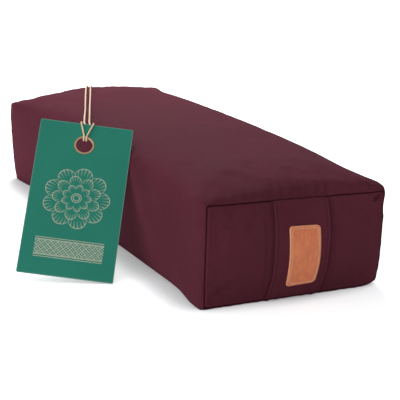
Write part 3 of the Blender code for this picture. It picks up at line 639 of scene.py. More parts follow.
def make_wrap(material):
    """The long panel. What comes back is its edge at both ends, as x and z."""
    rows = fine_rows()
    points = rolled(slumped(wrap_points(rows, FINE), rows), rows)
    place = (rows + HALF_LENGTH) / (2 * HALF_LENGTH) * (COARSE_ROWS - 1)
    height = sampled(WRAP_SIM, place, np.arange(RING * FINE) / FINE, True) * far_edge_calm(points)
    height += seam_puckers(rows, points)
    for route, width, rise in WRAP_CREASES:
        height += crease_height(points, route, width, rise)
    height *= zip_calm(points)
    height -= np.maximum(height - HIGH_FOLD, 0) * 0.5
    points = points + wrap_normals(points) * height[..., None]
    points[..., 2] = np.maximum(points[..., 2], 0.0)
    open_rows = np.abs(rows) < ZIP_HALF
    for column, depth in ZIP_TUCKS:
        points[open_rows, column, 0] -= depth
    edges = points[0][:, [0, 2]], points[-1][:, [0, 2]]
    points = with_hems(points, edges)
    open_rows = np.pad(open_rows, len(HEM))

    def in_zip(j, i):
        return ZIP_START <= i < ZIP_END and open_rows[j] and open_rows[j + 1]

    uv = side_by_side(run_around(points), points[:, :1, 1])
    wrap = grid_object("cover_wrap_cloth", points, uv, closed=True, left_out=in_zip)
    finish_cloth(wrap, material, "cover_wrap")
    return edges


def seam_puckers(rows, points):
    """Small gathers that run back from each end seam."""
    around = run_around(points)[:, 1:]
    total = np.zeros(points.shape[:2])
    for sign, seed in ((-1, 5), (1, 8)):
        near = np.where(np.sign(rows) == sign, HALF_LENGTH - np.abs(rows), 1.0)[:, None]
        wave = ripple(around, seed, PUCKER_PITCH)
        reach = PUCKER_REACH + PUCKER_SPREAD * ripple(around, seed + 20, PUCKER_SPREAD_PITCH)
        total += PUCKER_HEIGHT * wave * bell(near - PUCKER_PLACE, reach)
        total += SEAM_ROLL_HEIGHT * bell(near - SEAM_ROLL_PLACE, SEAM_ROLL_WIDTH) * (0.8 + 0.4 * wave)
    return total


def far_edge_calm(points):
    """1, and less over the right long edge of the top, where the cloth is drawn smooth."""
    near = bell(points[..., 0] - FAR_EDGE, FAR_EDGE_REACH)
    return 1 - FAR_EDGE_SHARE * near * np.clip((points[..., 2] - FAR_EDGE_FOOT) / FAR_EDGE_REACH, 0, 1)


def zip_calm(points):
    """1 away from the zip and 0 beside it."""
    side = (points[..., 0] > 0.9 * HALF_WIDTH) & (np.abs(points[..., 1]) < ZIP_HALF + ZIP_CALM_RUN)
    distance = np.abs(points[..., 2] - (ZIP_LOW + ZIP_TOP) / 2)
    return np.where(side, np.clip((distance - ZIP_CALM) / ZIP_CALM_RUN, 0, 1), 1.0)


def with_hems(points, edges):
    """Adds the rows that turn in at both end seams."""
    front, rear = (
        [standing(drawn_in(edge, inset), sign * (HALF_LENGTH - back)) for back, inset in HEM]
        for sign, edge in zip((-1, 1), edges)
    )
    return np.array([*front, *points, *reversed(rear)])


def standing(flat, y):
    """Points given as x and z, at y."""
    return side_by_side(flat[..., 0], y, flat[..., 1])


# The end panels

SEAM_GAP = 0.0011  # width of the groove between the long panel and an end panel
GROOVE_DEPTH = 0.0022
GROOVE_WIDTH = 0.0007
CORNER_DIMPLE = 0.0028
PANEL_HEM_INSET = 0.0005
PANEL_HEM_DEPTH = 0.0036
CLOSE_CELLS = np.array([0.0005, 0.0011, 0.0019])  # distances from the seam of the panel's finest cells
BEHIND_HANDLE = 0.042  # up to this far from the middle the panel's folds are held down
BEHIND_SHARE = 0.35
CALM_EDGE = 0.006  # no folds right at the seam
WRINKLE_RUN = 0.022  # and no wrinkles of the simulation near it
# Gathers at its seams
PANEL_PUCKER = 0.00035
PANEL_PUCKER_PITCH = 0.020
PANEL_PUCKER_PLACE = 0.004
PANEL_PUCKER_WIDTH = 0.008
PANEL_ROUND = 0.09  # turns an angle round the panel into a length
# Lines that the near strap's edges press into the panel: (side, place out from the edge, width, depth)
STRAP_PRINTS = ((1, 0.0020, 0.0013, 0.0034), (-1, 0.0002, 0.0008, 0.0007))
PRINT_LOW = 0.002
PRINT_TOP = SEAM_HEIGHT - 0.004
PRINT_FADE = 0.010
PRINT_CALM = 0.3  # the prints are kept at their depth down to this share of calm

# Folds from the corners of the near end panel towards its middle, in millimetres:
# (points as x and z, width, height)
END_CREASES = (
    (((-103, 109), (-90, 96), (-78, 85)), 5, -0.8),
    (((-103, 8), (-90, 17), (-74, 24)), 5, -1.2),
    (((-100, 18), (-86, 30), (-70, 38)), 5.5, 0.9),
    (((109, 104.5), (102.5, 100.5), (95, 96.5)), 1.9, -6),
    (((102, 99), (96, 95), (88, 90)), 4, 1.2),
    (((-104, 7), (-92, 4), (-78, 3)), 3.5, -2),
    (((103, 96), (95, 70), (96, 45)), 6, 1),
    (((95, 100), (87, 72), (89, 40)), 6, -0.9),
    (((103, 8), (88, 18), (70, 23)), 5.5, -1.2),
    (((82, 6), (76, 20), (64, 32)), 6, 0.8),
    (((-60, 109), (-64, 90), (-60, 64)), 8, 0.6),
)


def border_shares(cells, length):
    """Shares along one side of an end panel: even cells with finer ones near both ends."""
    close = CLOSE_CELLS / length
    return np.unique(np.concatenate([np.linspace(0, 1, cells * PANEL_FINE + 1), close, 1 - close]))


def make_end_panel(name, sign, material, sim, rim):
    """rim is the long panel's edge at this end, as x and z."""
    shares_x = border_shares(TOP_CELLS, 2 * HALF_WIDTH)
    shares_z = border_shares(SIDE_CELLS, SEAM_HEIGHT)
    flat = patch_grid(drawn_in(rim, SEAM_GAP), FINE, shares_x, shares_z)
    x, z = flat[..., 0], flat[..., 1]
    from_side = np.minimum(shares_x, 1 - shares_x)[None, :] * 2 * HALF_WIDTH
    from_end = np.minimum(shares_z, 1 - shares_z)[:, None] * SEAM_HEIGHT
    edge = np.minimum(from_side, from_end)
    out = GAP + CLOTH + panel_swell(shares_x, shares_z)
    out -= GROOVE_DEPTH * bell(edge, GROOVE_WIDTH)
    out -= GROOVE_DEPTH * bell(np.hypot(from_side, from_end), CORNER_DIMPLE)
    calm = np.clip(edge / CALM_EDGE, 0, 1) * np.where(np.abs(x) < BEHIND_HANDLE, BEHIND_SHARE, 1.0)
    fold = sampled(sim, shares_z * SIDE_CELLS, shares_x * TOP_CELLS, False)
    fold *= np.clip(edge / WRINKLE_RUN, 0, 1)
    for route, width, rise in END_CREASES:
        fold += crease_height(flat * (-sign, 1), route, width, rise)
    if sign < 0:
        fold -= strap_print(x, z) / np.maximum(calm, PRINT_CALM)
    around = np.arctan2(z - HALF_SEAM, x) * PANEL_ROUND
    gathers = ripple(around, 11 if sign < 0 else 14, PANEL_PUCKER_PITCH)
    fold += PANEL_PUCKER * gathers * bell(edge - PANEL_PUCKER_PLACE, PANEL_PUCKER_WIDTH)
    out += blurred(fold * calm, 1, False)
    points = standing(flat, sign * (HALF_LENGTH + out))
    points[..., 2] = np.maximum(points[..., 2], 0.0)
    points = panel_hem(points, sign)
    if sign < 0:
        points = points[:, ::-1]
    finish_cloth(grid_object(name + "_cloth", points, points[..., [0, 2]]), material, name)


def strap_print(x, z):
    """Depth of the lines that the near strap's two edges press into the panel."""
    total = 0.0
    for side, place, width, depth in STRAP_PRINTS:
        total += depth * bell(side * (x - handle_middle(z)) - handle_width(z) / 2 - place, width)
    return total * np.clip((z - PRINT_LOW) / PRINT_FADE, 0, 1) * np.clip((PRINT_TOP - z) / PRINT_FADE, 0, 1)


def panel_hem(points, sign):
    """Adds a border that turns in behind the panel's own edge."""
    wide, rim = with_rim(points)
    drawn = drawn_in(wide[rim][:, [0, 2]], PANEL_HEM_INSET)
    wide[rim] = standing(drawn, sign * (HALF_LENGTH - PANEL_HEM_DEPTH))
    return wide


# Carry handles

HANDLE_CLOTH = 0.0016
HANDLE_TOP_WIDTH = 0.0650
HANDLE_BOTTOM_WIDTH = 0.0634
# Sideways shift of its middle in millimetres, by height
HANDLE_SHIFT = ((0.0, -4.4), (0.012, -3.0), (0.030, -1.2), (0.060, -0.4), (0.090, 1.2), (0.112, 2.4))
HANDLE_BOW = {-1: 0.0036, 1: 0.0178}  # the string pulls the far handle out
HANDLE_TILT = {-1: 0.0016, 1: 0.0}  # its right edge stands out more than its left
HANDLE_FULLNESS = 0.85
HANDLE_TUCK = {-1: 0.0, 1: 0.5}  # how much less it bows out where the panel swells
HANDLE_SEAT = 0.0010
HANDLE_TOP = SEAM_HEIGHT - 0.0055
HANDLE_FOOT = 0.0045
HANDLE_ROWS = 49
HANDLE_SINK = 0.0012  # of its upper end under the long panel's edge
# Its ends go into the seams: how far behind the end seam, how flat, and the rise of the lower and upper one
TUCK_DEPTH = 0.0022
TUCK_FLATNESS = 0.7
TUCK_RISES = (-0.0012, 0.0004)
TOPSTITCH = 0.0036  # from a folded edge to its row of stitches
TOPSTITCH_SINK = 0.00018
# The channel that the stitches pull into the cloth, and the swell of the folded edge outside it
CHANNEL_DEPTH = 0.00042
CHANNEL_WIDTH = 0.0007
PUFF_HEIGHT = 0.00012
PUFF_PLACE = 0.0018
PUFF_WIDTH = 0.0010
TOPSTITCH_SIZE = (0.0030, 0.0007, 0.00028)  # pitch, gap and radius
# Distances from a folded edge of the points across the strip
STRIP_INSETS = (0.0010, 0.0020, 0.0029, 0.0033, TOPSTITCH, 0.0039, 0.0043, 0.0052, 0.0070)
# Along a stitch: share of its length, and share of its radius there
STITCH_FORM = ((0.0, 0.35), (0.12, 0.85), (0.35, 1.0), (0.65, 1.0), (0.88, 0.85), (1.0, 0.35))
STITCH_SIDES = 6


def handle_share(z):
    """0 at the handle's lower seam and 1 at its upper one."""
    return (z - HANDLE_FOOT) / (HANDLE_TOP - HANDLE_FOOT)


def handle_out(z, end):
    """How far the handle's inner face stands out from the end seam at height z."""
    share = min(max(handle_share(z), 0.0), 1.0)
    swell = 1 - ((z - HALF_SEAM) / HALF_SEAM) ** 2
    bow = HANDLE_BOW[end] * math.sin(math.pi * share) ** HANDLE_FULLNESS * (1.0 - HANDLE_TUCK[end] * swell)
    return 2 * GAP + HANDLE_SEAT + END_BULGE * swell + bow


def handle_middle(z):
    return by_table(z, HANDLE_SHIFT)


def handle_width(z):
    return HANDLE_BOTTOM_WIDTH + (HANDLE_TOP_WIDTH - HANDLE_BOTTOM_WIDTH) * handle_share(z)


def handle_stations():
    """Heights from the lower seam to the upper one, closer together near both."""
    turns = np.linspace(0, math.pi, HANDLE_ROWS)
    return HANDLE_FOOT + (HANDLE_TOP - HANDLE_FOOT) * (1 - np.cos(turns)) / 2


def handle_section(width):
    """Points round the strip's own section, as (across, depth): flat folded cloth with rounded edges."""
    half, round_edge = width / 2, HANDLE_CLOTH / 2
    side = [half - inset for inset in STRIP_INSETS]
    across = np.array([*(-s for s in side), *np.linspace(-side[-1], side[-1], 15)[1:-1], *side[::-1]])
    edge = half - np.abs(across)
    channel = CHANNEL_DEPTH * bell(edge - TOPSTITCH, CHANNEL_WIDTH)
    front = HANDLE_CLOTH - channel + PUFF_HEIGHT * bell(edge - PUFF_PLACE, PUFF_WIDTH)
    arc = [math.radians(angle) for angle in (-60, -30, 0, 30, 60)]
    right = [(half - round_edge * (1 - math.cos(a)), round_edge * (1 + math.sin(a))) for a in arc]
    left = [(-x, depth) for x, depth in right[::-1]]
    return [*zip(across, channel * 0.5), *right, *zip(across[::-1], front[::-1]), *left]


def handle_surface(across, z, depth, end=-1, rim=None):
    """A point of a handle as seen on the front, by its place across, its height and its depth."""
    step = 0.0005
    rise = handle_out(z + step, end) - handle_out(z - step, end)
    outward = np.array([2 * step, -rise]) / math.hypot(rise, 2 * step)
    out, height = np.array([handle_out(z, end), z]) + outward * (depth + handle_wave(across, z, end))
    x = handle_middle(z) + across
    if rim is not None:
        height += (seam_height(rim, x) - HANDLE_TOP) * max(handle_share(z), 0.0) ** 4
    return (x, -HALF_LENGTH - out, height)


def seam_height(rim, x):
    """Height of the upper seam at x, from the long panel's edge."""
    upper = rim[rim[:, 1] > 0.8 * SEAM_HEIGHT]
    upper = upper[np.argsort(upper[:, 0])]
    return float(np.interp(x, upper[:, 0], upper[:, 1])) - HANDLE_SINK


def handle_wave(across, z, end):
    """Slight slackness of the strip, and its tilt."""
    slack = math.sin(math.pi * np.clip(handle_share(z), 0, 1)) ** 0.5
    bend = math.sin(across * 62 + end) * 0.0003 + math.sin(across * 120 + z * 70 + end * 2) * 0.00018
    edge = across / (handle_width(z) / 2)
    return slack * (bend + HANDLE_TILT[end] * edge - 0.0004 * edge**4)


def make_handle(name, end, material, thread, rim):
    """end is its sign along Y, and rim the long panel's edge there, as x and z."""
    rim = rim * np.array([-end, 1.0])
    turned = np.array([-end, -end, 1.0])  # half round for the far end
    rings = [
        [handle_surface(across, z, depth, end, rim) for across, depth in handle_section(handle_width(z))]
        for z in handle_stations()
    ]
    points = tuck_ends(np.array(rings))
    uv = side_by_side(run_around(points), run_along(points[:, points.shape[1] // 4])[:, None])
    strip = grid_object(name + "_strip", points * turned, uv, closed=True, capped=True)
    finish_piece(strip, material, BODY, "twill", name)

    routes = []
    for side in (-1, 1):
        places = [(side * (handle_width(z) / 2 - TOPSTITCH), z) for z in handle_stations()[2:-2]]
        depth = HANDLE_CLOTH - TOPSTITCH_SINK
        routes.append(np.array([handle_surface(*place, depth, end, rim) for place in places]) * turned)
    stitches = make_stitches(name + "_topstitch", routes, *TOPSTITCH_SIZE)
    finish_piece(stitches, thread, BODY, "twill")


def tuck_ends(points):
    """Both ends of the strip curve into the seams."""
    tucked = []
    for ring, rise in zip((points[0], points[-1]), TUCK_RISES):
        ring = ring + np.array([0.0, 0.0, rise])
        ring[:, 1] = TUCK_DEPTH - HALF_LENGTH + (ring[:, 1] - ring[:, 1].max()) * TUCK_FLATNESS
        tucked.append(ring)
    return np.array([tucked[0], *points, tucked[1]])


def make_stitches(name, routes, pitch, gap, radius):
    """One rounded stitch for each step of each route, joined into one piece."""
    stitches = []
    for route in routes:
        stops = resampled(route, pitch)
        for start, end in zip(stops, stops[1:]):
            length = np.linalg.norm(end - start)
            along = (end - start) / length
            across = np.cross(along, (0.0, 0.0, 1.0))
            if np.linalg.norm(across) < 0.2:
                across = np.cross(along, (1.0, 0.0, 0.0))
            across /= np.linalg.norm(across)
            up = np.cross(across, along)
            rings = []
            for share, size in STITCH_FORM:
                centre = start + along * (gap / 2 + (length - gap) * share)
                rings.append(circle(centre, across, up, radius * size, STITCH_SIDES))
            stitches.append(rings)
    return tubes(name, stitches)


# Leather patch

PATCH_WIDTH = 0.0362
PATCH_HEIGHT = 0.0640
PATCH_THICKNESS = 0.0018
PATCH_CORNER = 0.0042
PATCH_SHIFT = 0.0013
PATCH_MIDDLE = 0.0508
PATCH_SEAT = 0.0004
PATCH_BACK = 0.00105  # how far its edge goes back to the strip
STITCH_INSET = 0.0028
STITCH_LEVEL = 0.00172  # of the middle of the thread
STITCH_DENT = 0.0019  # the height of the hide beside them
PATCH_STITCH = (0.0024, 0.0010, 0.00052)  # pitch, gap and radius
# Height of the hide's face in millimetres by the distance in from its edge, with the groove for its stitches
PATCH_PROFILE = (
    *((0.0, 1.0), (0.0003, 1.5), (0.0008, 1.82), (0.0014, 1.90), (0.0020, 1.84), (0.0025, 1.58)),
    *((STITCH_INSET, 1.46), (0.0031, 1.58), (0.0036, 1.84), (0.0044, 1.90)),
)
PATCH_CELL = 0.0013
PATCH_BORDER = 0.0060  # the width of the closer cells along its edges
PATCH_UNDERSIDE = 0.85  # how much smaller the turned-in back is


def patch_point(x, up, depth, dented):
    """A point by its place on the patch, its height over the strip, and the height that the dents go by."""
    depth += patch_dent(x, up, dented)
    low = max(-up / PATCH_HEIGHT * 2, 0.0) ** 1.5
    high = max(up / PATCH_HEIGHT * 2, 0.0) ** 1.5
    side = x / PATCH_WIDTH * 2
    x = x * (1 - 0.07 * low) - 0.0008 * low + 0.0004 * (1 - low - high)
    up += side * (0.0012 * low - 0.0008 * high)
    z = PATCH_MIDDLE + up
    return handle_surface(PATCH_SHIFT + x - handle_middle(z), z, HANDLE_CLOTH + PATCH_SEAT + depth)


def patch_dent(x, up, depth):
    """The hide isn't quite flat: it lifts a little at two corners and sags in its middle."""
    lift = 0.0005 * (x / PATCH_WIDTH * 2) ** 2 * (up / PATCH_HEIGHT * 2)
    wave = 0.00022 * math.sin(up * 150 + x * 60) * math.sin(x * 140 + 1.0)
    return (wave - 0.0002) * (depth / PATCH_THICKNESS) + max(lift, 0.0) * 0.8


def rounded_outline(width, height, corner, arc_steps, spacing):
    """Points round a rectangle with round corners, no further apart than the spacing."""
    points = []
    for side, level, start in ((1, -1, -90), (1, 1, 0), (-1, 1, 90), (-1, -1, 180)):
        x, y = side * (width / 2 - corner), level * (height / 2 - corner)
        for step in range(arc_steps + 1):
            turn = math.radians(start + 90 * step / arc_steps)
            points.append((x + corner * math.cos(turn), y + corner * math.sin(turn)))
    full = []
    for (x, y), (to_x, to_y) in zip(points, points[1:] + points[:1]):
        pieces = max(math.ceil(math.hypot(to_x - x, to_y - y) / spacing), 1)
        full += [(x + (to_x - x) * i / pieces, y + (to_y - y) * i / pieces) for i in range(pieces)]
    return full


def patch_spread(half):
    """Places from one edge to the other, closer together near both."""
    close = half - np.array([inset for inset, _ in PATCH_PROFILE])
    inner = half - PATCH_BORDER
    return np.concatenate([-close, np.linspace(-inner, inner, round(2 * inner / PATCH_CELL)), close[::-1]])


def make_patch(material, thread):
    half_width, half_height = PATCH_WIDTH / 2, PATCH_HEIGHT / 2
    straight_x, straight_up = half_width - PATCH_CORNER, half_height - PATCH_CORNER
    points = []
    uv = []
    for up in patch_spread(half_height):
        out_up = max(abs(up) - straight_up, 0.0)
        reach = straight_x + math.sqrt(max(PATCH_CORNER**2 - out_up**2, 0.0))
        for x in patch_spread(half_width) * reach / half_width:
            out_x = max(abs(x) - straight_x, 0.0)
            inset = min(half_width - abs(x), half_height - abs(up))
            if out_x and out_up:
                inset = PATCH_CORNER - math.hypot(out_x, out_up)
            depth = float(by_table(inset, PATCH_PROFILE))
            points.append(patch_point(x, up, depth, depth))
            uv.append((max(inset, 0.0), up))
    shape = (len(patch_spread(half_height)), len(patch_spread(half_width)), -1)
    points, rim = with_rim(np.array(points).reshape(shape))
    points[rim] += (0.0, PATCH_BACK, 0.0)
    points, rim = with_rim(points)
    middle = np.array([PATCH_SHIFT, 0.0, PATCH_MIDDLE])
    turned_in = middle + (points[rim] - middle) * PATCH_UNDERSIDE
    points[rim] = np.where([True, False, True], turned_in, points[rim])
    uv = np.pad(np.array(uv).reshape(shape), ((2, 2), (2, 2), (0, 0)), mode="edge")
    patch = grid_object("leather_patch_hide", points[:, ::-1], uv[:, ::-1])
    finish_piece(patch, material, BODY, "leather", "leather_patch")

    width, height = PATCH_WIDTH - 2 * STITCH_INSET, PATCH_HEIGHT - 2 * STITCH_INSET
    route = rounded_outline(width, height, PATCH_CORNER - STITCH_INSET / 2, 5, 0.002)
    line = [patch_point(x, up, STITCH_LEVEL, STITCH_DENT) for x, up in [*route, route[0]]]
    stitches = make_stitches("patch_stitches", [line], *PATCH_STITCH)
    finish_piece(stitches, thread, BODY, "thread", "patch_stitching")


# The hang tag and its string

CARD_TOP = Vector((-0.1387, -0.059117, 0.150846))
CARD_TURN = (
    Matrix.Rotation(math.radians(-20.0), 3, "Z")
    @ Matrix.Rotation(math.radians(90.0 - 40.0), 3, "X")
    @ Matrix.Rotation(math.radians(-8.8), 3, "Z")
)
CARD_WIDTH = 0.106
CARD_HEIGHT = 0.190
STRING_THICKNESS = 0.0020
TWIST_PITCH = 0.0068  # length of one turn of the string's two plies
STRING_SIDES = 12
RINGS_TO_A_TURN = 9
# The string's route, in millimetres. The hitch and the first points of the left strand are on
# the card, from the middle of its top edge: x along the edge, y up and z out of the card's front.
HITCH_HALF = (
    *((-2.7, 0.3, -3.17), (-2.7, -0.4, -2.65), (-2.7, -1.9, -2.3), (-2.4, -6.8, -2.3), (-1.9, -12.6, -2.8)),
    *((-1.6, -16.2, -2.9), (-1.5, -19.4, -2.4), (-1.5, -20.7, -0.4), (-1.5, -19.4, 1.7), (-1.8, -16.2, 2.3)),
    *((-2.8, -12.6, 2.2), (-4.6, -6.8, 1.6), (-6.6, -1.0, 1.6), (-6.9, 1.3, 0.8), (-6.9, 1.8, -0.6)),
    *((-6.8, 0.8, -2.6), (-6.0, -0.8, -4.4), (-4.2, -1.8, -5.1)),
)
HITCH_MIDDLE = (0.0, -2.0, -5.3)
STRAND_START = ((-2.7, 0.6, -3.4), (-2.7, 1.4, -4.0), (-2.7, 2.6, -6.0))
# And in the frame: over the cushion, round the far handle and back
STRAND_ROUTE = (
    *((-125.9, -17.6, 143.1), (-106, 33, 134.5), (-89, 75, 130.9), (-73, 113, 130.9)),
    *((-51, 168, 131.7), (-24, 234, 132.4), (-12, 262, 130.7), (-2, 284, 126.4)),
    *((2, 295, 121.5), (1.5, 301.5, 118), (-3, 305, 115.5), (-14, 305.8, 114.2)),
    *((-28, 306.2, 113.6), (-38, 306.8, 112.4), (-42.2, 307.8, 108), (-43, 309.2, 101.5)),
    *((-42.8, 310.5, 94.5), (-40, 312, 89), (-33, 312.5, 87), (-18, 312.5, 87)),
    *((-4, 312.5, 87), (10, 312.5, 87), (25, 312.5, 87.2), (32, 312, 89.3)),
    *((34.8, 310.5, 95), (34.6, 309.2, 101.5), (33.2, 307.8, 108), (29, 306.8, 112.4)),
    *((20, 306, 113.8), (12, 304.5, 116), (10.5, 300.5, 118.6), (8.5, 294, 122.1)),
    *((5, 286, 125.9), (-6, 261, 130.9), (-19, 230, 132.8), (-46, 164, 132.2)),
    *((-69, 108, 131.6), (-84, 71, 131.9), (-101, 29, 136), (-120.4, -19.3, 144.2)),
)


def on_card(points):
    return [CARD_TOP + CARD_TURN @ (Vector(point) / 1000) for point in points]


def mirrored(points):
    """The same points on the card's other half, in the opposite order."""
    return [(-x, y, z) for x, y, z in reversed(points)]


def smooth_route(points, steps=24):
    """Close points on a smooth curve through the route."""
    curve = []
    last = len(points) - 1
    for i in range(last):
        before, start, end = points[max(i - 1, 0)], points[i], points[i + 1]
        after = points[min(i + 2, last)]
        chord = (end - start).length
        leave = (end - before).normalized() * chord
        arrive = (after - start).normalized() * chord
        for step in range(steps):
            t = step / steps
            curve.append(
                start * (2 * t**3 - 3 * t**2 + 1)
                + leave * (t**3 - 2 * t**2 + t)
                + end * (-2 * t**3 + 3 * t**2)
                + arrive * (t**3 - t**2)
            )
    return [*curve, points[last]]


def make_string(name, route, material, body, node):
    """A two-ply twisted string along a route."""
    line = resampled([tuple(point) for point in smooth_route(route)], TWIST_PITCH / RINGS_TO_A_TURN)
    run = run_along(line)
    along = np.gradient(line, axis=0)
    along /= np.linalg.norm(along, axis=1, keepdims=True)
    side = np.cross(along[0], (0.0, 0.0, 1.0))
    radius = STRING_THICKNESS / 2
    turns = math.tau * np.arange(STRING_SIDES)[:, None] / STRING_SIDES
    rings = []
    for point, direction, length in zip(line, along, run):
        side = side - direction * side.dot(direction)
        side /= np.linalg.norm(side)
        lobes = radius * (0.80 + 0.24 * np.abs(np.cos(turns - math.tau * length / TWIST_PITCH)))
        rings.append(circle(point, side, np.cross(direction, side), lobes, STRING_SIDES))
    uv = side_by_side(np.linspace(0, math.tau * radius, STRING_SIDES + 1), run[:, None])
    string = grid_object(name, np.array(rings), uv, closed=True, capped=True)
    finish_piece(string, material, body, "string", node)
    return string, line


def make_strings(material):
    strand_route = [
        *on_card(STRAND_START),
        *(Vector(point) / 1000 for point in STRAND_ROUTE),
        *on_card(mirrored(STRAND_START)),
    ]
    hitch_route = on_card([*HITCH_HALF, HITCH_MIDDLE, *mirrored(HITCH_HALF)])
    strands, strand_line = make_string("tag_string_cord", strand_route, material, BODY, "tag_string")
    hitch, hitch_line = make_string("tag_hitch_cord", hitch_route, material, "tag", "tag_string_hitch")


# Zips

TOOTH_PITCH = 0.0015
TOOTH_RADIUS = 0.00034
TOOTH_SIDES = 5
# Form of a loop: share of the strip's half thickness, and share of the way from its tip to its root
TOOTH_FORM = ((-1, 1), (-1, 0.22), (-0.4, 0.10), (0.4, 0.10), (1, 0.22), (1, 1))
TAPE_STITCH = 0.0042  # from the opening to its row of stitches
TAPE_STITCH_END = 0.004
TAPE_STITCH_LIFT = 0.00012


def make_coil(node, material, slot):
    """The row of moulded loops along one tape, in place of its plain strip."""
    low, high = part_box(node)
    upper = node.endswith("upper")
    root, tip = (high.z, low.z) if upper else (low.z, high.z)
    middle = (low.x + high.x) / 2
    reach = (high.x - low.x) / 2 - TOOTH_RADIUS
    profile = [np.array([middle + reach * out, 0.0, tip + (root - tip) * back]) for out, back in TOOTH_FORM]
    loop = []
    for before, point, after in zip([profile[0], *profile], profile, [*profile[1:], profile[-1]]):
        along = (after - before) / np.linalg.norm(after - before)
        across = np.cross(along, (0.0, 1.0, 0.0))
        loop.append(circle(point, across, np.array([0.0, -1.0, 0.0]), TOOTH_RADIUS, TOOTH_SIDES))
    count = int((high.y - low.y) / TOOTH_PITCH)
    start = low.y + (0.0 if upper else TOOTH_PITCH / 2)
    places = [start + TOOTH_PITCH * (tooth + 0.5) for tooth in range(count)]
    loops = [np.array(loop) + (0.0, y, 0.0) for y in places if y <= high.y - TOOTH_RADIUS]
    finish_piece(tubes(node + "_teeth", loops), material, BODY, slot, node)


def soften(node, width, material, body, slot):
    """The CAD piece again, with its edges rounded."""
    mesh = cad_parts[node].data.copy()
    mesh.materials.clear()
    piece = linked(node + "_rounded", mesh)
    piece.modifiers.new("weld", "WELD").merge_threshold = 0.00001
    bevel = piece.modifiers.new("edges", "BEVEL")
    bevel.width = width
    bevel.segments = 2
    bevel.limit_method = "ANGLE"
    bevel.angle_limit = math.radians(40)
    mesh.shade_smooth()
    finish_piece(piece, material, body, slot, node)


def make_zips(tape, coil, metal, calico_tape, thread):
    for name, cloth, teeth, teeth_slot in (
        ("cover_zip", tape, coil, "zip_coil"),
        ("inner_zip", calico_tape, calico_tape, "calico_tape"),
    ):
        for side in ("upper", "lower"):
            make_coil(f"{name}_coil_{side}", teeth, teeth_slot)
            paint(f"{name}_tape_{side}", cloth)
            soften(f"{name}_top_stop_{side}", 0.0004, metal, BODY, "zip_metal")
        soften(f"{name}_bottom_stop", 0.0005, metal, BODY, "zip_metal")
        prefix = name.split("_")[0]
        soften(f"{name}_slider", 0.00028, metal, prefix + "_slider", "zip_metal")
        soften(f"{name}_pull", 0.0003, metal, prefix + "_pull", "zip_metal")
    face = HALF_WIDTH + TAPE_STITCH_LIFT
    end = ZIP_HALF + TAPE_STITCH_END
    low, high = ZIP_LOW - TAPE_STITCH, ZIP_TOP + TAPE_STITCH
    routes = [[(face, -end, z), (face, 0.0, z), (face, end, z)] for z in (low, high)]
    routes += [[(face, y, low), (face, y, high)] for y in (-end, end)]
    stitches = make_stitches("cover_zip_topstitch", routes, *TOPSTITCH_SIZE)
    finish_piece(stitches, thread, BODY, "twill")


# Inner cushion

INNER_ROWS = 80
CAP_SHARES = (0.97, 0.9, 0.75, 0.5, 0.25, 0.08)  # sizes of the rings that close an end
CAP_SWELL = 0.8 * END_BULGE
LUMP_SIZE = 0.07  # of the largest lumps
ROUND_LENGTH = 0.65  # about the way round a section, for the cloth's own map
# Distance in from the cover on the left, on the right, above and below, and at the ends
CASE_INSETS = (0.0035, 0.0090, 0.0035, 0.006)
FILLING_INSETS = (0.0060, 0.0140, 0.0060, 0.010)


def make_inner(name, node, material, slot, insets, lump, seed):
    """A closed, softly lumpy form inside the cover."""
    left, right, upright, end = insets
    rows = np.linspace(-HALF_LENGTH + end, HALF_LENGTH - end, INNER_ROWS)
    grid = slumped(wrap_points(rows, 1), rows)
    shrink = (2 * HALF_WIDTH - left - right) / (2 * HALF_WIDTH)
    grid[..., 0] = grid[..., 0] * shrink + (left - right) / 2
    middle = middle_height(rows)[:, None]
    tall = half_height(rows)[:, None]
    grid[..., 2] = middle + (grid[..., 2] - middle) * (tall - upright) / tall
    front = [cap_ring(grid[0], share, -1) for share in reversed(CAP_SHARES)]
    points = np.array([*front, *grid, *(cap_ring(grid[-1], share, 1) for share in CAP_SHARES)])
    random = np.random.default_rng(seed)
    bumps = np.zeros(points.shape[:2])
    for octave in range(6):
        wave = LUMP_SIZE / 1.5**octave
        heading = random.normal(size=3)
        heading /= np.linalg.norm(heading)
        turns = math.tau * (points @ heading) / wave + random.uniform(0, math.tau)
        bumps += np.sin(turns) / (1 + 0.5 * octave)
    points = points - wrap_normals(points) * (lump * (0.5 + 0.5 * np.tanh(bumps)))[..., None]
    points[..., 2] = np.maximum(points[..., 2], upright)
    uv = side_by_side(np.linspace(0, ROUND_LENGTH, points.shape[1] + 1), points[:, :1, 1])
    form = grid_object(name, points, uv, closed=True, capped=True)
    finish_piece(form, material, BODY, slot, node)


def cap_ring(edge, share, sign):
    middle = np.array([edge[:, 0].mean(), 0.0, HALF_SEAM])
    ring = middle + (edge - middle) * share
    ring[:, 1] = edge[0, 1] + sign * CAP_SWELL * (1 - share**2)
    return ring


# Materials


def put(tree, kind, settings=(), sockets=(), **inputs):
    """A new node, with its settings and what goes into its sockets, by their order or by their names."""
    node = tree.nodes.new("ShaderNode" + kind)
    for key, value in dict(settings).items():
        setattr(node, key, value)
    for socket, value in zip(node.inputs, sockets):
        plug(socket, value)
    for key, value in inputs.items():
        plug(node.inputs[key.replace("_", " ")], value)
    return node


def plug(socket, value):
    """Links a wire to a socket, or sets the socket's own value."""
    if isinstance(value, Wire):
        socket.id_data.links.new(value.socket, socket)
    else:
        socket.default_value = value


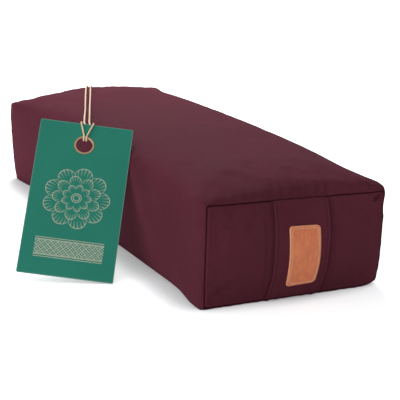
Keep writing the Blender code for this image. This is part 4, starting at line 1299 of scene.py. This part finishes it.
class Wire:
    """What comes out of a node, with arithmetic that adds further nodes."""

    def __init__(self, node, output=0):
        self.socket = node.outputs[output]
        self.tree = node.id_data

    def math(self, operation, *others, clamp=False):
        return Wire(put(self.tree, "Math", {"operation": operation, "use_clamp": clamp}, (self, *others)))

    def __add__(self, other):
        return self.math("ADD", other)

    def __sub__(self, other):
        return self.math("SUBTRACT", other)

    def __rsub__(self, other):
        return Wire(put(self.tree, "Math", {"operation": "SUBTRACT"}, (other, self)))

    def __mul__(self, other):
        return self.math("MULTIPLY", other)

    def __abs__(self):
        return self.math("ABSOLUTE")

    def scaled(self, factor, extra, clamp=False):
        """This times the factor, plus the extra."""
        return self.math("MULTIPLY_ADD", factor, extra, clamp=clamp)

    def wave(self, pitch):
        """A sine of a length in metres, from 0 to 1."""
        return (self * (math.tau / pitch)).math("SINE").scaled(0.5, 0.5)

    def remap(self, low, high, to_low=0.0, to_high=1.0):
        ends = {"From_Min": low, "From_Max": high, "To_Min": to_low, "To_Max": to_high}
        return Wire(put(self.tree, "MapRange", Value=self, **ends))

    def noise(self, scale, detail=3.0, roughness=0.55):
        return Wire(put(self.tree, "TexNoise", Vector=self, Scale=scale, Detail=detail, Roughness=roughness))

    def stretched(self, scale):
        return Wire(put(self.tree, "Mapping", Vector=self, Scale=scale))

    def mix(self, *colours):
        """From the first colour to the second, by this share."""
        node = put(self.tree, "Mix", {"data_type": "RGBA"}, Factor=self)
        for socket, colour in zip(node.inputs[6:8], colours):
            plug(socket, colour if isinstance(colour, Wire) else (*colour, 1.0))
        return Wire(node, 2)

    def bump(self, distance, strength, **inputs):
        return Wire(put(self.tree, "Bump", Height=self, Distance=distance, Strength=strength, **inputs))

    def dot(self, direction):
        settings = {"operation": "DOT_PRODUCT"}
        return Wire(put(self.tree, "VectorMath", settings, (self, tuple(direction))), "Value")

    def axes(self):
        node = put(self.tree, "SeparateXYZ", Vector=self)
        return [Wire(node, axis) for axis in range(3)]


def new_material(name):
    """A material, and wires for the place in the object's space and for the place on its cloth."""
    material = bpy.data.materials.new(name)
    material.use_nodes = True
    tree = material.node_tree
    return material, Wire(put(tree, "TexCoord"), "Object"), Wire(put(tree, "UVMap", {"uv_map": "cloth"}))


def shaded(material, **inputs):
    """The material, with its shader's sockets set or linked."""
    shader = material.node_tree.nodes["Principled BSDF"]
    for key, value in inputs.items():
        plug(shader.inputs[key.replace("_", " ")], value)
    return material


def toned(colour, factor):
    return tuple(min(part * factor, 1.0) for part in colour)


def twill(name, dark, light, pitch=0.0009):
    """Woven cloth with a diagonal rib, faint slubs and a slightly worn tone."""
    material, place, uv = new_material(name)
    across, along, _ = uv.axes()
    rib = uv.noise(160.0, 2.0).scaled(pitch * 0.5, along.scaled(0.62, across)).wave(pitch)
    weave = along.wave(pitch * 0.55).scaled(0.35, rib)
    height = uv.noise(900.0).scaled(0.5, weave)
    patchy = place.noise(9.0, 4.0, 0.5)
    tone = patchy.remap(0.3, 0.7, 0.15, 0.75) + place.noise(260.0).remap(0.3, 0.7, -0.12, 0.12)
    return shaded(
        material,
        Base_Color=(weave - 0.65).scaled(0.22, tone, clamp=True).mix(dark, light),
        Roughness=patchy.remap(0.2, 0.8, 0.82, 0.94),
        Normal=height.bump(0.00011, 0.8, Normal=place.noise(55.0).bump(0.0009, 0.35)),
        Specular_IOR_Level=0.03,
        Sheen_Weight=0.015,
        Sheen_Roughness=0.45,
        Sheen_Tint=(*toned(light, 3.2), 1.0),
    )


def plain_weave(name, dark, light, pitch=0.0007):
    """Calico or tape: a square weave with small specks."""
    material, place, _ = new_material(name)
    x, y, z = place.axes()
    height = (y + x * 0.15).wave(pitch) * (z + x * 0.2).wave(pitch)
    tone = (height * 0.5).math("ADD", place.noise(14.0) * 0.6, clamp=True)
    specks = place.noise(700.0, 2.0).remap(0.62, 0.72) * 0.5
    colour = specks.mix(tone.mix(dark, light), toned(dark, 0.45))
    return shaded(
        material, Base_Color=colour, Roughness=0.9, Normal=height.bump(0.0002, 0.7), Sheen_Weight=0.2
    )


def voronoi(place, feature, scale, output="Distance"):
    cells = put(place.tree, "TexVoronoi", {"feature": feature}, Vector=place, Scale=scale, Randomness=1.0)
    return Wire(cells, output)


def hull_grains(name):
    """Loose, shiny brown hulls, with painted shade, almost black, in the gaps between them."""
    material, place, _ = new_material(name)
    distance = voronoi(place, "F1", 190.0)
    red, _, _ = voronoi(place, "F1", 190.0, "Color").axes()
    hull = red.mix((0.20, 0.11, 0.05), (0.56, 0.38, 0.20))
    # Painted shade: far from a hull's middle the colour goes almost black, for the shade between hulls
    colour = distance.remap(0.25, 0.6).mix(hull, (0.06, 0.03, 0.015))
    return shaded(material, Base_Color=colour, Roughness=0.55, Normal=(1.0 - distance).bump(0.0016, 0.9))


def tan_leather(name):
    """Smooth tan hide: fine pores, creases, a mottled tone, and paler, rubbed edges."""
    material, place, uv = new_material(name)
    crack = voronoi(place, "DISTANCE_TO_EDGE", 420.0).remap(0.0, 0.12)
    patchy = place.noise(70.0, 5.0, 0.6)
    streak = place.stretched((60.0, 60.0, 14.0)).noise(5.0, 4.0).remap(0.35, 0.7, -0.15, 0.35)
    tone = patchy.remap(0.3, 0.7, 0.0, 0.7).math("ADD", streak, clamp=True)
    colour = tone.mix((0.60, 0.150, 0.052), (0.80, 0.245, 0.095))
    colour = ((1.0 - crack) * 0.25).mix(colour, (0.36, 0.10, 0.04))
    inset, _, _ = uv.axes()
    colour = (inset.remap(0.0004, 0.0017, 1.0, 0.0) * 0.55).mix(colour, (0.86, 0.40, 0.22))
    relief = crack.scaled(0.8, voronoi(place, "F1", 1500.0) * 0.5)
    relief = place.noise(300.0, 4.0).scaled(0.8, relief)
    rough = patchy.remap(0.3, 0.7, 0.44, 0.62)
    return shaded(material, Base_Color=colour, Roughness=rough, Normal=relief.bump(0.00014, 0.7))


def stitch_thread(name, colour, pitch=0.0006):
    material, place, _ = new_material(name)
    x, y, z = place.axes()
    twist = (x + y + z).wave(pitch)
    share = twist.scaled(0.5, place.noise(900.0) * 0.5, clamp=True)
    colour = share.mix(toned(colour, 0.62), colour)
    normal = twist.bump(0.00008, 0.6)
    return shaded(material, Base_Color=colour, Roughness=0.6, Normal=normal, Specular_IOR_Level=0.12)


def twisted_cotton(name):
    """Cream string with fine fibres laid round it, and fuzz."""
    material, place, uv = new_material(name)
    around, along, _ = uv.axes()
    fibre = along.scaled(0.9, around).wave(0.00042)
    fuzz = place.noise(1400.0)
    colour = fibre.scaled(0.35, fuzz * 0.9, clamp=True).mix((0.72, 0.46, 0.24), (0.94, 0.74, 0.47))
    normal = fuzz.scaled(0.6, fibre).bump(0.00012, 0.7)
    return shaded(material, Base_Color=colour, Roughness=0.85, Normal=normal, Sheen_Weight=0.3)


def brushed_metal(name, colour, roughness):
    material, place, _ = new_material(name)
    smear = place.noise(120.0)
    return shaded(
        material,
        Metallic=1.0,
        Base_Color=smear.mix(toned(colour, 0.82), colour),
        Roughness=smear.remap(0.3, 0.7, roughness - 0.06, roughness + 0.10),
        Normal=place.stretched((1.0, 0.08, 1.0)).noise(2400.0, 4.0).bump(0.00003, 0.5),
    )


def moulded_plastic(name, colour):
    material, place, _ = new_material(name)
    grain = place.noise(1600.0, 2.0)
    mixed = grain.mix(colour, toned(colour, 1.6))
    return shaded(material, Base_Color=mixed, Roughness=0.42, Normal=grain.bump(0.00004, 0.4))


GREEN = (0.0160, 0.198, 0.135)
CREAM = (0.60, 0.58, 0.44)
CARD_CORE = (0.20, 0.34, 0.28)
ROSETTE_CENTRE = (0.0, -0.094)
ROSETTE_RADIUS = 0.034
PETALS = 9
# Of each ring of petals: its reach and depth as shares of the radius, and its turn as a share of a petal
PETAL_RINGS = ((1.0, 0.16, 0.0), (0.70, 0.16, 0.5), (0.42, 0.10, 0.0))
BAND_LEVEL = -0.157
BAND_HALF_WIDTH = 0.038
BAND_HALF_HEIGHT = 0.0090
INK_EDGE = 0.0003  # how soft the edge of a printed line is


def line(value, width, soft=INK_EDGE):
    """1 where the value is within the width of 0, with a soft edge."""
    return abs(value).remap(width / 2, width / 2 + soft, 1.0, 0.0)


def union(masks):
    total = masks[0]
    for mask in masks[1:]:
        total = total.math("MAXIMUM", mask)
    return total


def rosette(x, y):
    """Rings of petals round a centre, drawn in fine lines."""
    dx, dy = x - ROSETTE_CENTRE[0], y - ROSETTE_CENTRE[1]
    far = (dx.math("POWER", 2.0) + dy.math("POWER", 2.0)).math("SQRT")
    turn = dy.math("ARCTAN2", dx)
    masks = []
    for reach, depth, phase in PETAL_RINGS:
        lobe = abs(turn.scaled(PETALS / 2, math.pi * phase).math("COSINE")).math("POWER", 0.6)
        edge = lobe.scaled(ROSETTE_RADIUS * depth * 1.6, ROSETTE_RADIUS * (reach - depth))
        gap = far - edge
        masks.append(line(gap, 0.0005, 0.00035))
        rays = abs((turn * (PETALS * 3.0)).math("SINE")).remap(0.18, 0.50, 1.0, 0.0)
        inside = far.math("GREATER_THAN", edge * 0.78) * gap.math("LESS_THAN", 0.0)
        masks.append(rays * inside * gap.remap(-0.006, 0.0, 0.30, 1.0))
    masks += [line(far - ROSETTE_RADIUS * share, 0.0005) for share in (0.16, 0.10)]
    return union(masks)


def lattice_band(x, y):
    """A band of crossed lines between two pairs of plain ones."""
    rise = y - BAND_LEVEL
    net = []
    rules = []
    for side in (-1.0, 1.0):
        slant = rise.scaled(side, x) + 1.0
        for spacing, width in ((0.0070, 0.0011), (0.0035, 0.0005)):
            net.append(line(slant.math("PINGPONG", spacing / 2), width))
        for level, width in ((BAND_HALF_HEIGHT, 0.0009), (BAND_HALF_HEIGHT + 0.0024, 0.0005)):
            rules.append(line(rise - side * level, width))
    net = union(net) * abs(rise).math("LESS_THAN", BAND_HALF_HEIGHT)
    return union([net, *rules]) * abs(x).math("LESS_THAN", BAND_HALF_WIDTH)


def printed_card(name):
    """Green uncoated card with a plain line ornament, and a pale core at its cut edges."""
    material, place, _ = new_material(name)
    tree = material.node_tree
    shift = Wire(put(tree, "VectorMath", {"operation": "SUBTRACT"}, (place, tuple(CARD_TOP))))
    x, y, z = (shift.dot(CARD_TURN.col[axis]) for axis in range(3))
    flat = Wire(put(tree, "CombineXYZ", X=x, Y=y, Z=z))
    worn = flat.noise(700.0).remap(0.30, 0.55, 0.45, 1.0)
    front = z.math("GREATER_THAN", -0.0003)
    ink = union([rosette(x, y), lattice_band(x, y)]) * worn * (front * 0.85)
    fibre = flat.noise(420.0, 4.0, 0.6)
    tone = fibre * 0.5 + flat.noise(18.0, 2.0) * 0.5
    colour = ink.mix(tone.mix(toned(GREEN, 0.86), tuple(c * 1.28 + 0.004 for c in GREEN)), CREAM)
    core = abs(z + 0.0004).math("LESS_THAN", 0.00034)
    from_side = CARD_WIDTH / 2 - abs(x)
    from_end = CARD_HEIGHT / 2 - abs(y + CARD_HEIGHT / 2)
    edge = from_side.math("MINIMUM", from_end).remap(0.0005, 0.0011, 0.55, 0.0)
    return shaded(
        material,
        Base_Color=union([core, edge]).mix(colour, CARD_CORE),
        Roughness=fibre.remap(0.3, 0.7, 0.55, 0.70),
        Normal=fibre.bump(0.00006, 0.5),
        Specular_IOR_Level=0.2,
    )


# Stage, light and camera

CAMERA_TARGET = Vector((-0.0086, -0.0899, 0.0554))
CAMERA_DISTANCE = 1.6557
CAMERA_AZIMUTH = math.radians(-26.43)
CAMERA_ELEVATION = math.radians(15.12)
CAMERA_ROLL = math.radians(1.01)
CAMERA_LENS = 126.1  # on a sensor 36 wide

FLOOR_HALF = 12.0
FLOOR_LEVEL = -0.0002
# Painted shadow on the floor: an ambient-occlusion value, leant towards the back right, darkens the floor's
# colour and its glow near the pieces
PAINTED_SHADOW_REACH = 0.036  # how far off a piece still darkens the floor with its painted shadow
PAINTED_SHADOW_LEAN = (0.55, -0.30, 0.78)
PAINTED_SHADOW_RANGE = (0.35, 0.85, 0.50, 1.0)  # openness from and to, and the floor's brightness there in the painted shadow
FLOOR_GREY = 0.86
FLOOR_GLOW = 0.56
WORLD_HEADING = (-1.0, -0.06, 0.0)  # where the world is brightest
WORLD_RANGE = (0.0, 1.0, 0.27, 1.95)  # share of that heading from and to, and the strength there
WORLD_COLOUR = (0.95, 0.97, 1.0, 1.0)
BOUNCE_GREY = 0.95  # of the floor as the light finds it
# Name, place, aim, size, power and colour of each lamp
LAMPS = (
    ("key", (-0.85, -1.20, 0.24), (-0.1, -0.2, 0.05), 1.2, 1.4, (1.0, 1.0, 1.0)),
    ("back", (0.30, 0.85, 0.85), (0.0, 0.1, 0.10), 0.8, 13.0, (1.0, 0.95, 0.99)),
)


def make_camera():
    flat = math.cos(CAMERA_ELEVATION)
    back = Vector((
        math.sin(CAMERA_AZIMUTH) * flat,
        -math.cos(CAMERA_AZIMUTH) * flat,
        math.sin(CAMERA_ELEVATION),
    ))
    right = (-back).cross(Vector((0.0, 0.0, 1.0))).normalized()
    up = right.cross(-back)
    rolled_right = right * math.cos(CAMERA_ROLL) + up * math.sin(CAMERA_ROLL)
    rolled_up = up * math.cos(CAMERA_ROLL) - right * math.sin(CAMERA_ROLL)
    data = bpy.data.cameras.new("camera")
    data.lens = CAMERA_LENS
    data.sensor_width = 36.0
    data.clip_start = 0.05
    data.clip_end = 60.0
    camera = linked("camera", data)
    turn = Matrix((rolled_right, rolled_up, back)).transposed()
    camera.matrix_world = Matrix.Translation(CAMERA_TARGET + back * CAMERA_DISTANCE) @ turn.to_4x4()
    bpy.context.scene.camera = camera


def make_lamp(name, place, aim, size, power, colour):
    data = bpy.data.lights.new(name, "AREA")
    data.shape = "DISK"
    data.size = size
    data.energy = power
    data.color = colour
    lamp = linked(name, data)
    lamp.location = place
    lamp.rotation_mode = "QUATERNION"
    lamp.rotation_quaternion = (Vector(aim) - Vector(place)).to_track_quat("-Z", "Y")


def end_tree(tree, output, light, seen):
    """Ends with one shader for light, and one for what the camera sees itself or in metal and glass."""
    path = put(tree, "LightPath")
    share = Wire(path, "Is Camera Ray")
    for extra in ("Is Glossy Ray", "Is Transmission Ray"):
        share = share.math("MAXIMUM", Wire(path, extra))
    put(tree, output, (), (Wire(put(tree, "MixShader", (), (share, Wire(light), Wire(seen)))),))


def make_floor():
    mesh = bpy.data.meshes.new("floor")
    corners = [(x * FLOOR_HALF, y * FLOOR_HALF, 0) for x, y in ((-1, -1), (1, -1), (1, 1), (-1, 1))]
    mesh.from_pydata(corners, [], [(0, 1, 2, 3)])
    floor = linked("floor", mesh)
    floor.location.z = FLOOR_LEVEL
    material = bpy.data.materials.new("pale_floor")
    mesh.materials.append(material)
    material.use_nodes = True
    tree = material.node_tree
    tree.nodes.clear()
    # Painted shadow: ambient occlusion near the pieces darkens both the floor's colour and its glow
    lean = Wire(put(tree, "CombineXYZ", (), PAINTED_SHADOW_LEAN))
    painted_shadow = put(tree, "AmbientOcclusion", {"samples": 12}, Distance=PAINTED_SHADOW_REACH, Normal=lean)
    light = Wire(painted_shadow, "AO").remap(*PAINTED_SHADOW_RANGE)
    matt = put(tree, "BsdfDiffuse", Color=light.mix((0.0, 0.0, 0.0), [FLOOR_GREY] * 3))
    glow = put(tree, "Emission", Strength=light * FLOOR_GLOW)
    seen = put(tree, "AddShader", (), (Wire(matt), Wire(glow)))
    bounce = put(tree, "BsdfDiffuse", Color=(*[BOUNCE_GREY] * 3, 1.0))
    end_tree(tree, "OutputMaterial", bounce, seen)


def make_world():
    world = bpy.data.worlds.new("studio")
    world.use_nodes = True
    bpy.context.scene.world = world
    tree = world.node_tree
    tree.nodes.clear()
    facing = Wire(put(tree, "TexCoord"), "Generated").dot(WORLD_HEADING)
    ambient = put(tree, "Background", Color=WORLD_COLOUR, Strength=facing.remap(*WORLD_RANGE))
    end_tree(tree, "OutputWorld", ambient, put(tree, "Background", Strength=1.0))


def make_all():
    wine = twill("wine_twill", (0.0805, 0.0172, 0.0272), (0.1130, 0.0252, 0.0394))
    wine_thread = stitch_thread("wine_thread", (0.105, 0.021, 0.034))
    calico = plain_weave("calico", (0.62, 0.55, 0.44), (0.84, 0.78, 0.66))
    hulls = hull_grains("grain_hulls")
    leather = tan_leather("tan_leather")
    thread = stitch_thread("tan_thread", (0.98, 0.66, 0.44))
    tape = plain_weave("wine_zip_tape", (0.070, 0.022, 0.032), (0.125, 0.040, 0.056), 0.0009)
    coil = moulded_plastic("zip_coil", (0.085, 0.026, 0.038))
    metal = brushed_metal("zip_metal", (0.60, 0.58, 0.55), 0.34)
    brass = brushed_metal("rose_brass", (0.56, 0.34, 0.19), 0.32)
    card = printed_card("green_card")
    cotton = twisted_cotton("cream_cotton")

    front_rim, back_rim = make_wrap(wine)
    make_end_panel("end_panel_front", -1, wine, END_SIM[0], front_rim)
    make_end_panel("end_panel_back", 1, wine, END_SIM[1], back_rim)
    make_handle("handle_front", -1, wine, wine_thread, front_rim)
    make_handle("handle_back", 1, wine, wine_thread, back_rim)
    make_patch(leather, thread)
    make_zips(tape, coil, metal, calico, wine_thread)
    make_inner("inner_case_cloth", "inner_case", calico, "calico", CASE_INSETS, 0.0012, seed=3)
    make_inner("hull_fill_heap", "hull_fill", hulls, "hulls", FILLING_INSETS, 0.0016, seed=4)
    make_strings(cotton)
    paint("tag_card", card)
    paint("tag_eyelet", brass)
    paint("tag_string_knot", cotton)
    make_floor()
    make_world()
    for lamp in LAMPS:
        make_lamp(*lamp)


bpy.context.scene.view_settings.view_transform = "Standard"
make_camera()
make_all()
